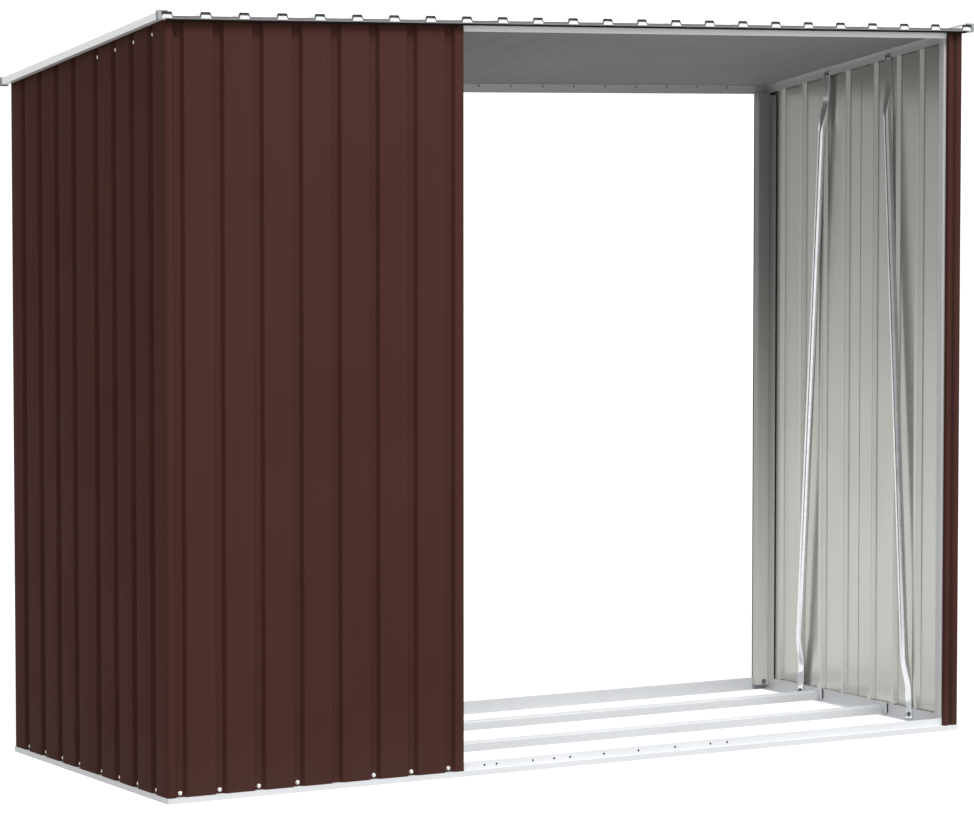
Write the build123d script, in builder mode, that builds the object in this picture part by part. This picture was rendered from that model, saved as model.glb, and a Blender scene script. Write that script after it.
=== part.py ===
from build123d import *
import os
from math import atan2, cos, hypot, sin

os.makedirs("parts", exist_ok=True)

# Steel log store: corrugated wall sheets on a folded frame, one closed bay and one open bay,
# a lean-to roof that falls to the rear. +X runs along the front, the front faces -Y, +Z is up.

# Driving dimensions
wall_width = 2400.0
wall_depth = 950.0
front_height = 1921.4
rear_height = 1773.8
closed_bay = 834.0
fit_gap = 0.3

# Wall sheets: the outer face is the plateau, the valleys stand in from it
sheet_thickness = 1.0
valley_drop = 11.0
valley_width = 31.0
valley_floor = 18.0
valley_pitch = 108.0
side_middle_gap = 136.4
least_edge_flat = 15.0
corner_bend = 9.0
corner_return = 20.5
seam_offset = 24.0

# Cover jambs beside the right-hand corners
jamb_face = 13.0
jamb_groove = 12.0
jamb_groove_floor = 6.0
jamb_groove_depth = 7.0
jamb_return = 12.0

# Base rails: a ledge carries the sheets, a web stands behind their valleys
rail_thickness = 1.2
ledge_height = 14.0
base_web_height = 34.0
rail_foot = 15.0
rail_hole_diameter = 6.0
rail_hole_height = 23.0
rail_hole_shares = (0.043, 0.066, 0.135, 0.176, 0.207, 0.273, 0.341, 0.414, 0.485, 0.519)

# Floor beams between the side rails
beam_front_height = 21.0
beam_flange = 16.0
beam_upstand = 5.0
beam_tab_width = 20.0
beam_tab_height = 25.0
beam_places = (331.8, 650.4)

# Top rails and the posts beside the open bay
top_web_height = 21.0
top_flange = 20.0
post_width = 40.0
corner_post_width = 39.0
corner_post_reveal = 7.0
post_depth = 24.0
post_bend = 3.0

# Wall braces: round tubes with flattened ends
tube_diameter = 22.5
tab_width = 30.0
tab_thickness = 2.6
tab_length = 80.0
flare_length = 100.0
brace_top_offset = 148.0
brace_foot_offset = 268.0
brace_foot_gap = 6.0
brace_top_gap = 4.0
tube_quarter_angle = 32.0

# Roof sheets, verge trims and corner caps
roof_thickness = 1.2
rib_count = 24
ribs_per_sheet = 4
rib_base = 30.0
rib_top = 24.5
rib_height = 10.5
roof_edge_margin = 5.0
lip_drop = 7.3
lip_side_gap = 3.0
front_overhang = 15.5
rear_overhang = 9.5
side_overhang = 22.7
verge_thickness = 1.0
verge_top = 40.0
verge_lip = 18.0
verge_drop = 6.0
verge_bend = 2.0
cap_wall = 2.0
cap_length = 12.0
cap_width = 27.0
cap_strip = 9.7
cap_brow = 3.0
cap_bend = 2.5

# The roof sheets' underside is one sloping plane
slope = (front_height - rear_height) / wall_depth
tilt = atan2(front_height - rear_height, wall_depth)
roof_length = (wall_depth + front_overhang + rear_overhang) / cos(tilt)
verge_height = rib_height + roof_thickness + fit_gap + verge_thickness
cap_reach = cap_wall + fit_gap

# The part's box is centred on the origin, so the wall planes follow from the caps at both ends
front_extent = front_overhang + cap_reach * cos(tilt) + (verge_drop + cap_reach) * sin(tilt)
rear_extent = rear_overhang + cap_reach * cos(tilt) + (verge_height + cap_reach) * sin(tilt)
front_y = (front_extent - rear_extent - wall_depth) / 2
rear_y = front_y + wall_depth
left_x = -wall_width / 2
right_x = wall_width / 2
middle_y = (front_y + rear_y) / 2

# The sheet beside a corner starts where the turned-in end of the corner sheet stops
corner_seam = corner_return + fit_gap + sheet_thickness
first_valley = corner_seam + valley_width / 2

# Depths behind the outer face of a wall
web_depth = valley_drop + sheet_thickness + fit_gap
web_back = web_depth + rail_thickness
inner_seat = web_back + fit_gap

# Each wall is drawn in its own plane, x along the wall, y inwards, counter-clockwise from above
sheet_foot = ledge_height + fit_gap
front_plane = Plane(origin=(left_x, front_y, 0), x_dir=(1, 0, 0), z_dir=(0, 0, 1))
right_plane = Plane(origin=(right_x, front_y, 0), x_dir=(0, 1, 0), z_dir=(0, 0, 1))
rear_plane = Plane(origin=(right_x, rear_y, 0), x_dir=(-1, 0, 0), z_dir=(0, 0, 1))
left_plane = Plane(origin=(left_x, rear_y, 0), x_dir=(0, -1, 0), z_dir=(0, 0, 1))

# The roof plane, and its end plane at the rear eave, from which the sheets run up to the front
roof_plane = Plane(
    origin=(0, front_y, front_height), x_dir=(1, 0, 0), z_dir=(0, sin(tilt), cos(tilt))
)
eave_plane = Plane(
    origin=(0, rear_y + rear_overhang, rear_height - rear_overhang * slope),
    x_dir=(1, 0, 0),
    z_dir=(0, -cos(tilt), sin(tilt)),
)


def roof_height(y):
    """Height of the roof sheets' underside at a place from front to rear."""
    return front_height - (y - front_y) * slope


def save(piece, name):
    """Label a finished piece and write its file."""
    piece.part.label = name
    export_step(piece.part, f"parts/{name}.step")


def valley(centre):
    """Outline points of one valley in a wall sheet, from its first edge to its last."""
    return [
        (centre - valley_width / 2, 0),
        (centre - valley_floor / 2, valley_drop),
        (centre + valley_floor / 2, valley_drop),
        (centre + valley_width / 2, 0),
    ]


def reversed_along(points, length):
    """The same outline seen from the other end of a wall of this length."""
    return [(length - u, depth) for u, depth in reversed(points)]


def folded_strip(plane, points, corner=None, mirror_plane=None):
    """A wall sheet: a folded strip standing on the rail's ledge and cut off under the roof.

    The folds are sharp, apart from the one at the numbered point, which goes round a corner.
    With a mirror plane the strip stands at the opposite wall instead.
    """
    radii = [corner_bend if number == corner else 0 for number in range(1, len(points) - 1)]
    with BuildPart() as strip:
        with BuildSketch(plane.offset(sheet_foot)):
            with BuildLine():
                FilletPolyline(*points, radius=radii)
                offset(amount=sheet_thickness, side=Side.LEFT, kind=Kind.INTERSECTION)
            make_face()
        extrude(amount=front_height)
        if mirror_plane is not None:
            mirror(about=mirror_plane, mode=Mode.REPLACE)
        split(bisect_by=roof_plane.offset(-fit_gap), keep=Keep.BOTTOM)
    return strip


def mitre(plane, length):
    """The two upright planes that cut a rail off at the corners of its wall."""
    along = plane.x_dir
    inward = plane.y_dir
    start = Plane(origin=plane.origin, z_dir=along - inward)
    end = Plane(origin=plane.origin + along * length, z_dir=-along - inward)
    return start.offset(fit_gap / 2), end.offset(fit_gap / 2)


def base_rail(plane, length):
    """A base rail along one wall: outer lip, ledge, web and foot, mitred at both ends."""
    outline = [
        (0, 0),
        (0, ledge_height),
        (web_depth, ledge_height),
        (web_depth, base_web_height),
        (web_back, base_web_height),
        (web_back, rail_thickness),
        (web_back + rail_foot, rail_thickness),
        (web_back + rail_foot, 0),
        (web_depth, 0),
        (web_depth, ledge_height - rail_thickness),
        (rail_thickness, ledge_height - rail_thickness),
        (rail_thickness, 0),
    ]
    section = Plane(origin=plane.origin, x_dir=plane.y_dir, z_dir=plane.x_dir)
    start, end = mitre(plane, length)
    with BuildPart() as rail:
        with BuildSketch(section):
            with BuildLine():
                Polyline(*outline, close=True)
            make_face()
        extrude(amount=length)
        split(bisect_by=start, keep=Keep.TOP)
        split(bisect_by=end, keep=Keep.TOP)
    return rail


def top_rail(plane, length, rise_along, rise_inward):
    """An angle under the roof along one wall; the rises are the roof's slopes seen from it."""

    def under_roof(depth):
        return roof_height(plane.origin.Y) - fit_gap + depth * rise_inward

    foot = under_roof(web_depth) - top_web_height
    outline = [
        (web_depth, foot),
        (web_depth, under_roof(web_depth)),
        (web_back + top_flange, under_roof(web_back + top_flange)),
        (web_back + top_flange, under_roof(web_back + top_flange) - rail_thickness),
        (web_back, under_roof(web_back) - rail_thickness),
        (web_back, foot),
    ]
    section = Plane(origin=plane.origin, x_dir=plane.y_dir, z_dir=plane.x_dir)
    start, end = mitre(plane, length)
    with BuildPart() as rail:
        with BuildSketch(section):
            with BuildLine():
                Polyline(*outline, close=True)
            make_face()
        extrude(amount=length * hypot(1, rise_along), dir=plane.x_dir + Vector(0, 0, rise_along))
        split(bisect_by=start, keep=Keep.TOP)
        split(bisect_by=end, keep=Keep.TOP)
    return rail


# Base rails, with the front rail's spare screw holes in the open bay
open_bay_length = wall_width - closed_bay
with BuildPart() as front_base_rail:
    add(base_rail(front_plane, wall_width).part)
    for hole_share in rail_hole_shares:
        hole_x = left_x + closed_bay + open_bay_length * hole_share
        with Locations(Plane(origin=(hole_x, front_y, rail_hole_height), z_dir=(0, -1, 0))):
            Hole(radius=rail_hole_diameter / 2)
save(front_base_rail, "front_base_rail")
save(base_rail(rear_plane, wall_width), "rear_base_rail")
save(base_rail(left_plane, wall_depth), "left_base_rail")
save(base_rail(right_plane, wall_depth), "right_base_rail")

# Floor beams, resting on the side rails' feet, with a bolted tab at each end
beam_span = wall_width - 2 * inner_seat
beam_foot = rail_thickness + fit_gap
beam_names = ("front_floor_beam", "rear_floor_beam")
for beam_name, beam_place in zip(beam_names, beam_places):
    beam_plane = Plane(
        origin=(-beam_span / 2, front_y + beam_place, beam_foot), x_dir=(0, 1, 0), z_dir=(1, 0, 0)
    )
    with BuildPart() as floor_beam:
        with BuildSketch(beam_plane):
            with BuildLine():
                Polyline(
                    (0, 0),
                    (0, beam_front_height),
                    (beam_flange, beam_front_height),
                    (beam_flange, beam_front_height + beam_upstand),
                )
                offset(amount=rail_thickness, side=Side.RIGHT, kind=Kind.INTERSECTION)
            make_face()
        extrude(amount=beam_span)
        with BuildSketch(beam_plane, beam_plane.offset(beam_span - rail_thickness)):
            Rectangle(beam_tab_width, beam_tab_height, align=(Align.MAX, Align.MIN))
        extrude(amount=rail_thickness)
    save(floor_beam, beam_name)

# Side walls: two sheets each, turned round the corner onto the front or the rear
side_room = (wall_depth - side_middle_gap - valley_width) / 2 - corner_bend - least_edge_flat
side_valleys = 1 + int(side_room // valley_pitch)
side_half = [(0, corner_return), (0, 0)]
for index in range(side_valleys):
    steps_from_middle = side_valleys - 1 - index
    side_half += valley((wall_depth - side_middle_gap) / 2 - steps_from_middle * valley_pitch)
side_half += [((wall_depth - fit_gap) / 2, 0)]
side_other_half = reversed_along(side_half, wall_depth)
far_corner = len(side_half) - 2
save(folded_strip(right_plane, side_half, 1), "right_wall_front_sheet")
save(folded_strip(right_plane, side_other_half, far_corner), "right_wall_rear_sheet")
save(folded_strip(left_plane, side_half, 1), "left_wall_rear_sheet")
save(folded_strip(left_plane, side_other_half, far_corner), "left_wall_front_sheet")

# Closed stretches of the front and rear walls: two sheets each, from the left-hand corner
closed_room = closed_bay - first_valley - valley_width / 2 - least_edge_flat
closed_valleys = 1 + int(closed_room // valley_pitch)
corner_sheet_valleys = closed_valleys // 2
seam = first_valley + corner_sheet_valleys * valley_pitch - seam_offset
corner_points = []
for index in range(corner_sheet_valleys):
    corner_points += valley(first_valley + index * valley_pitch)
corner_points += [(seam - fit_gap / 2, 0)]
bay_points = [(seam + fit_gap / 2, 0)]
for index in range(corner_sheet_valleys, closed_valleys):
    bay_points += valley(first_valley + index * valley_pitch)
bay_points += [(closed_bay, 0), (closed_bay, jamb_return)]
for sheet_name, sheet_points in (("corner_sheet", corner_points), ("bay_sheet", bay_points)):
    rear_points = reversed_along(sheet_points, wall_width)
    save(folded_strip(front_plane, sheet_points), f"front_wall_{sheet_name}")
    save(folded_strip(rear_plane, rear_points), f"rear_wall_{sheet_name}")

# Cover jambs at the right-hand corners: a return, a face and a groove beside the corner sheet
groove_flank = (jamb_groove - jamb_groove_floor) / 2
groove_end = corner_seam
jamb_end = groove_end + jamb_groove + jamb_face
jamb_points = [
    (groove_end, 0),
    (groove_end + groove_flank, jamb_groove_depth),
    (groove_end + groove_flank + jamb_groove_floor, jamb_groove_depth),
    (groove_end + jamb_groove, 0),
    (jamb_end, 0),
    (jamb_end, jamb_return),
]
middle_plane = Plane.XZ.offset(-middle_y)
save(folded_strip(rear_plane, jamb_points, mirror_plane=middle_plane), "front_right_jamb")
save(folded_strip(rear_plane, jamb_points), "rear_right_jamb")

# Top rails, mitred at the corners and lying against the roof's underside
save(top_rail(front_plane, wall_width, 0, -slope), "front_top_rail")
save(top_rail(rear_plane, wall_width, 0, slope), "rear_top_rail")
save(top_rail(left_plane, wall_depth, slope, 0), "left_top_rail")
save(top_rail(right_plane, wall_depth, -slope, 0), "right_top_rail")

# Posts beside the open bay: channels behind the jambs, open towards the wall they close
post_places = {
    "front_wall_post": (front_plane, closed_bay, -post_width),
    "rear_wall_post": (rear_plane, wall_width - closed_bay, post_width),
    "front_right_post": (front_plane, wall_width - jamb_end - corner_post_reveal, corner_post_width),
    "rear_right_post": (rear_plane, jamb_end + corner_post_reveal, -corner_post_width),
}
for post_name, (wall_plane, post_edge, post_reach) in post_places.items():
    post_inner = post_edge + post_reach
    with BuildPart() as post:
        with BuildSketch(wall_plane.offset(sheet_foot)):
            with BuildLine():
                FilletPolyline(
                    (post_inner, inner_seat),
                    (post_edge, inner_seat),
                    (post_edge, inner_seat + post_depth),
                    (post_inner, inner_seat + post_depth),
                    radius=post_bend,
                )
                offset(amount=rail_thickness, side=Side.LEFT if post_reach < 0 else Side.RIGHT)
            make_face()
        extrude(amount=front_height)
        split(bisect_by=roof_plane.offset(-top_web_height), keep=Keep.BOTTOM)
    save(post, post_name)

# Wall braces: an inverted V on each side wall, flattened against the rails at both ends
tube_radius = tube_diameter / 2
tab_edge = tab_width / 2
tab_back = tube_radius - tab_thickness
side_arc = 2 * tube_quarter_angle

# The flattened end's section is a flat bar that lies against the wall side of the tube
with BuildSketch() as tab_section:
    with BuildLine():
        Line((tab_edge, tab_back), (tab_edge, tube_radius))
        Line((tab_edge, tube_radius), (-tab_edge, tube_radius))
        Line((-tab_edge, tube_radius), (-tab_edge, tab_back))
        Line((-tab_edge, tab_back), (tab_edge, tab_back))
    make_face()

# The round section is in four arcs, which match the flattened end's four edges
with BuildSketch() as tube_section:
    with BuildLine():
        CenterArc((0, 0), tube_radius, -tube_quarter_angle, side_arc)
        CenterArc((0, 0), tube_radius, tube_quarter_angle, 180 - side_arc)
        CenterArc((0, 0), tube_radius, 180 - tube_quarter_angle, side_arc)
        CenterArc((0, 0), tube_radius, 180 + tube_quarter_angle, 180 - side_arc)
    make_face()

for side_name, side in (("left", -1), ("right", 1)):
    for end_name, end in (("front", -1), ("rear", 1)):
        axis_x = side * (wall_width / 2 - inner_seat - tube_radius)
        foot_y = middle_y + end * brace_foot_offset
        head_y = middle_y + end * brace_top_offset
        head_z = roof_height(head_y + tab_width / 2) - rail_thickness - fit_gap - brace_top_gap
        foot_point = Vector(axis_x, foot_y, brace_foot_gap)
        run = Vector(axis_x, head_y, head_z) - foot_point
        brace_plane = Plane(
            origin=foot_point, x_dir=(0, -side * run.Z, side * run.Y), z_dir=run
        )
        flare_start = brace_plane.offset(tab_length)
        tube_start = brace_plane.offset(tab_length + flare_length)
        tube_end = brace_plane.offset(run.length - tab_length - flare_length)
        flare_end = brace_plane.offset(run.length - tab_length)
        with BuildPart() as brace:
            with BuildSketch(brace_plane, flare_end):
                add(tab_section.sketch)
            extrude(amount=tab_length)
            for tab_end, round_end in ((flare_start, tube_start), (flare_end, tube_end)):
                with BuildSketch(tab_end):
                    add(tab_section.sketch)
                with BuildSketch(round_end):
                    add(tube_section.sketch)
                loft()
            with BuildSketch(tube_start):
                add(tube_section.sketch)
            extrude(amount=run.length - 2 * (tab_length + flare_length))
        save(brace, f"{side_name}_wall_{end_name}_brace")

# Roof sheets: ribs run from front to rear, and each flat between them ends in a drip lip
rib_pitch = wall_width / (rib_count - 1)
sheet_count = rib_count // ribs_per_sheet
for sheet_index in range(sheet_count):
    first_rib = left_x + sheet_index * ribs_per_sheet * rib_pitch
    rib_centres = [first_rib + index * rib_pitch for index in range(ribs_per_sheet)]
    left_edge = rib_centres[0] - (rib_pitch - fit_gap) / 2
    right_edge = rib_centres[-1] + (rib_pitch - fit_gap) / 2
    if sheet_index == 0:
        left_edge = rib_centres[0] - rib_base / 2 - roof_edge_margin
    if sheet_index == sheet_count - 1:
        right_edge = rib_centres[-1] + rib_base / 2 + roof_edge_margin
    roof_points = [(left_edge, 0)]
    for rib in rib_centres:
        roof_points += [
            (rib - rib_base / 2, 0),
            (rib - rib_top / 2, rib_height),
            (rib + rib_top / 2, rib_height),
            (rib + rib_base / 2, 0),
        ]
    roof_points += [(right_edge, 0)]
    flats = list(zip(roof_points[0::4], roof_points[1::4]))
    if sheet_index == 0:
        flats = flats[1:]
    if sheet_index == sheet_count - 1:
        flats = flats[:-1]
    with BuildPart() as roof_sheet:
        with BuildSketch(eave_plane):
            with BuildLine():
                Polyline(*roof_points)
                offset(amount=roof_thickness, side=Side.LEFT, kind=Kind.INTERSECTION)
            make_face()
        extrude(amount=roof_length)
        with BuildSketch(eave_plane.offset(roof_length - roof_thickness)):
            for (flat_start, _), (flat_end, _) in flats:
                lip_width = flat_end - flat_start - 2 * lip_side_gap
                with Locations(((flat_start + flat_end) / 2, roof_thickness / 2)):
                    Rectangle(lip_width, lip_drop, align=(Align.CENTER, Align.MAX))
        extrude(amount=roof_thickness)
    save(roof_sheet, f"roof_sheet_{sheet_index + 1}")

# Verge trims over the roof's side edges, and the caps that close their ends
verge_x = wall_width / 2 + side_overhang
verge_points = [
    (-verge_x + verge_top, verge_height),
    (-verge_x, verge_height),
    (-verge_x, -verge_drop),
    (-verge_x + verge_lip, -verge_drop),
]
cap_x = verge_x + cap_reach
cap_points = [
    (-cap_x + cap_width, verge_height + cap_reach),
    (-cap_x, verge_height + cap_reach),
    (-cap_x, -verge_drop - cap_reach),
    (-verge_x + verge_lip, -verge_drop - cap_reach),
]
cap_plate_height = verge_height + verge_drop + 2 * cap_reach
with BuildPart() as verge_trim:
    with BuildSketch(eave_plane):
        with BuildLine():
            FilletPolyline(*verge_points, radius=verge_bend)
            offset(amount=verge_thickness, side=Side.LEFT)
        make_face()
    extrude(amount=roof_length)


def corner_cap(end_plane):
    """A cap over one verge end; the plane faces out of the roof, at the roof's edge.

    Its end plate is a side strip and a brow, which leave the first rib open.
    """
    turn = 1 if end_plane.y_dir.Z > 0 else -1
    with BuildPart() as cap:
        with BuildSketch(end_plane.offset(cap_reach)):
            with BuildLine():
                FilletPolyline(*[(x, turn * y) for x, y in cap_points], radius=cap_bend)
                offset(amount=cap_wall, side=Side.LEFT if turn > 0 else Side.RIGHT)
            make_face()
        extrude(amount=-cap_length)
        with BuildSketch(end_plane.offset(fit_gap)):
            plate_middle = turn * (verge_height - verge_drop) / 2
            with Locations((-cap_x + cap_width / 2, plate_middle)):
                RectangleRounded(cap_width, cap_plate_height, cap_bend)
            with Locations((-cap_x + cap_width, -turn * (verge_drop + cap_reach))):
                Rectangle(
                    cap_width - cap_strip,
                    cap_plate_height - cap_brow,
                    align=(Align.MAX, Align.MIN if turn > 0 else Align.MAX),
                    mode=Mode.SUBTRACT,
                )
        extrude(amount=cap_wall)
    return cap


front_cap = corner_cap(eave_plane.offset(roof_length))
rear_cap = corner_cap(Plane(origin=eave_plane.origin, x_dir=(1, 0, 0), z_dir=-eave_plane.z_dir))
edge_pieces = {
    "verge_trim": verge_trim.part,
    "front_corner_cap": front_cap.part,
    "rear_corner_cap": rear_cap.part,
}
for edge_name, edge_piece in edge_pieces.items():
    with BuildPart() as left_piece:
        add(edge_piece)
    save(left_piece, f"left_{edge_name}")
    with BuildPart() as right_piece:
        mirror(edge_piece, about=Plane.YZ)
    save(right_piece, f"right_{edge_name}")
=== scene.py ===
"""Dresses the steel log store: corrugated sheets, braces, fasteners, finishes, light and camera.

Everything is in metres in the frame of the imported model: +X runs along the front from the closed
bay to the open bay, the front faces -Y and +Z is up.
"""
import logging
import math
from dataclasses import dataclass, field
from enum import Enum, IntEnum
from typing import Sequence

import bpy
import numpy as np
from mathutils import Matrix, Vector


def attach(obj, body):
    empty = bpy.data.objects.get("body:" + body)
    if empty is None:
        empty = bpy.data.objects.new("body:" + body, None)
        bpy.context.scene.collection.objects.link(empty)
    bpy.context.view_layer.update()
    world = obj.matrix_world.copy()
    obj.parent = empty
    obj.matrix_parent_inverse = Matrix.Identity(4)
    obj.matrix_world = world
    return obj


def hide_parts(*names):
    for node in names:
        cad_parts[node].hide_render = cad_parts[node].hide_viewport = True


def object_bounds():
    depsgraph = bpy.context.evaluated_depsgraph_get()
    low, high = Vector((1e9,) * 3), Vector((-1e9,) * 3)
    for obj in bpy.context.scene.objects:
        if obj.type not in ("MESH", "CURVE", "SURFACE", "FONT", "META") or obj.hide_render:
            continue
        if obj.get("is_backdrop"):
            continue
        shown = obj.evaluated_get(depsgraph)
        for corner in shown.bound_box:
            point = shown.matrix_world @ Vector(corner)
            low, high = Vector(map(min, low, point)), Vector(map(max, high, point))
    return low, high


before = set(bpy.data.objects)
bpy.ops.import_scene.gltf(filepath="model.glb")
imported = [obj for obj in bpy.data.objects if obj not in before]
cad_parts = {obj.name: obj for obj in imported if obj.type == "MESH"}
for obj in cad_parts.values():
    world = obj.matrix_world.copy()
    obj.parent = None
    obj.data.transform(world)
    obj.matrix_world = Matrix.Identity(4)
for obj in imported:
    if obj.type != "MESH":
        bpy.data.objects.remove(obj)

LOG = logging.getLogger("log_store")
CAD_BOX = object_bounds()

Array = np.ndarray
Pair = tuple[float, float]
Triple = tuple[float, float, float]
Node = bpy.types.Node
Socket = bpy.types.NodeSocket

SIDES = (("left", -1), ("right", 1))
ENDS = (("front", -1), ("rear", 1))


@dataclass(frozen=True)
class StoreSizes:
    """Main sizes of the store, in metres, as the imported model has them."""

    width: float = 2.4
    depth: float = 0.95
    front_y: float = -0.472537
    front_height: float = 1.9214
    rear_height: float = 1.7738
    closed_bay: float = 0.834
    sheet_foot: float = 0.0143
    fit_gap: float = 0.0003
    inner_seat: float = 0.0138
    valley_drop: float = 0.011

    @property
    def rear_y(self) -> float:
        """Place of the rear wall's outer face."""
        return self.front_y + self.depth

    @property
    def slope(self) -> float:
        """Fall of the roof for each metre towards the rear."""
        return (self.front_height - self.rear_height) / self.depth

    @property
    def tilt(self) -> float:
        """Angle of the roof to the ground, in radians."""
        return math.atan(self.slope)

    def roof_height(self, y: float) -> float:
        """Height of the roof sheets' underside at a place from front to rear."""
        return self.front_height - (y - self.front_y) * self.slope


STORE = StoreSizes()


@dataclass(frozen=True)
class Cut:
    """A plane that cuts a carried section off."""

    point: Triple
    normal: Triple

    def reach(self, points: Array, direction: Array) -> Array:
        """Distance from each point along the direction to this plane."""
        normal = np.array(self.normal)
        return (np.array(self.point) - points) @ normal / (direction @ normal)


@dataclass(frozen=True)
class SectionPlane:
    """The plane in which a section is drawn; along x across is the way the section is carried."""

    origin: Triple
    along: Triple
    across: Triple

    @property
    def direction(self) -> Array:
        """Way in which the section is carried."""
        return np.cross(self.along, self.across)

    def place(self, flat: Array) -> Array:
        """Points of the store for points (along, across) of this plane."""
        return np.array(self.origin) + flat @ np.array([self.along, self.across])


class Wall(Enum):
    """The four walls, each seen from outside and drawn from left to right."""

    FRONT = SectionPlane((-STORE.width / 2, STORE.front_y, 0.0), (1.0, 0.0, 0.0), (0.0, 1.0, 0.0))
    RIGHT = SectionPlane((STORE.width / 2, STORE.front_y, 0.0), (0.0, 1.0, 0.0), (-1.0, 0.0, 0.0))
    REAR = SectionPlane((STORE.width / 2, STORE.rear_y, 0.0), (-1.0, 0.0, 0.0), (0.0, -1.0, 0.0))
    LEFT = SectionPlane((-STORE.width / 2, STORE.rear_y, 0.0), (0.0, -1.0, 0.0), (1.0, 0.0, 0.0))


UNDER_ROOF = Cut(
    (0.0, STORE.front_y, STORE.front_height - STORE.fit_gap),
    (0.0, math.sin(STORE.tilt), math.cos(STORE.tilt)),
)


@dataclass(frozen=True)
class FoldLine:
    """A folded sheet's section: points, left-hand normals, fold weights and developed lengths."""

    points: Array
    normals: Array
    fold: Array
    length: Array


def fold_line(corners: Sequence[Pair], radii: Sequence[float], steps: int = 5) -> FoldLine:
    """Round the corners of a section line with tangent arcs.

    A corner that turns by an angle a with radius r is left r*tan(a/2) before it. The arc's points
    are its centre minus r times the normal, which turns by equal shares of a.

    Args:
        corners: Corner points of the section, the two ends included.
        radii: Radius at each corner between the ends.
        steps: Steps of each arc.

    Returns:
        The rounded section.
    """
    line = np.asarray(corners, float)
    runs = np.diff(line, axis=0)
    heading = np.unwrap(np.arctan2(runs[:, 1], runs[:, 0]))
    turn = np.diff(heading)
    share = np.linspace(0.0, 1.0, steps + 1)
    angle = heading[:-1, None] + turn[:, None] * share
    normal = np.stack([-np.sin(angle), np.cos(angle)], axis=-1)
    radius = np.asarray(radii, float)
    forward = np.stack([np.cos(heading), np.sin(heading)], axis=-1)
    start = line[1:-1] - forward[:-1] * (radius * np.tan(np.abs(turn) / 2))[:, None]
    signed = np.sign(turn) * radius
    centre = start + signed[:, None] * normal[:, 0]
    arcs = centre[:, None] - signed[:, None, None] * normal
    points = np.concatenate([line[:1], arcs.reshape(-1, 2), line[-1:]])
    sideways = np.stack([-forward[:, 1], forward[:, 0]], axis=-1)
    normals = np.concatenate([sideways[:1], normal.reshape(-1, 2), sideways[-1:]])
    weight = np.tile(1.0 - np.abs(2.0 * share - 1.0), len(turn))
    steps_between = np.hypot(*np.diff(points, axis=0).T)
    return FoldLine(
        points,
        normals,
        np.concatenate([[0.0], weight, [0.0]]),
        np.concatenate([[0.0], np.cumsum(steps_between)]),
    )


@dataclass
class Surface:
    """Vertices and faces of a piece, with finish numbers and the piece's own coordinates."""

    points: Array
    faces: list[Array]
    finishes: list[int]
    uv: Array
    fold: Array

    @staticmethod
    def joined(parts: Sequence["Surface"]) -> "Surface":
        """Put several surfaces into one.

        Args:
            parts: The surfaces, in order.

        Returns:
            One surface with all their vertices and faces.
        """
        starts = np.cumsum([0] + [len(part.points) for part in parts])
        return Surface(
            np.concatenate([part.points for part in parts]),
            [faces + start for part, start in zip(parts, starts) for faces in part.faces],
            [number for part in parts for number in part.finishes],
            np.concatenate([part.uv for part in parts]),
            np.concatenate([part.fold for part in parts]),
        )

    def to_object(
        self, name: str, materials: Sequence[bpy.types.Material], sharp: float = 38.0
    ) -> bpy.types.Object:
        """Make the mesh object, smooth apart from its sharp edges.

        Args:
            name: Name of the piece.
            materials: Its materials, in the order of the finish numbers.
            sharp: Angle in degrees from which an edge stays sharp.

        Returns:
            The object at the origin.
        """
        mesh = bpy.data.meshes.new(name)
        mesh.from_pydata(self.points.tolist(), [], [face for faces in self.faces for face in faces.tolist()])
        numbers = np.repeat(self.finishes, [len(faces) for faces in self.faces])
        mesh.polygons.foreach_set("material_index", numbers.astype(np.int32))
        loops = np.concatenate([faces.ravel() for faces in self.faces])
        uv = mesh.uv_layers.new(name="sheet").uv
        uv.foreach_set("vector", self.uv[loops].astype(np.float32).ravel())
        fold = mesh.attributes.new("fold", "FLOAT", "POINT").data
        fold.foreach_set("value", self.fold.astype(np.float32))
        for material in materials:
            mesh.materials.append(material)
        mesh.shade_smooth()
        mesh.set_sharp_from_angle(angle=math.radians(sharp))
        piece = bpy.data.objects.new(name, mesh)
        bpy.context.scene.collection.objects.link(piece)
        return piece


def grid_quads(rows: int, columns: int, start: int = 0, closed: bool = False) -> Array:
    """Quads of a grid of vertices that is numbered row by row.

    Args:
        rows: Number of rows.
        columns: Vertices in a row.
        start: Number of the first vertex.
        closed: True if the last column joins the first.

    Returns:
        One row of four vertex numbers for each quad.
    """
    column = np.arange(columns if closed else columns - 1)
    following = (column + 1) % columns
    base = (np.arange(rows - 1) * columns + start)[:, None]
    quads = [base + column, base + following, base + columns + following, base + columns + column]
    return np.stack(quads, axis=-1).reshape(-1, 4)


ROW_SHARES = np.array([0.0, 0.004, 0.015, 0.06, 0.25, 0.5, 0.75, 0.94, 0.985, 0.996, 1.0])
END_ROWS = np.array([0.0, 1.0])


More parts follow.
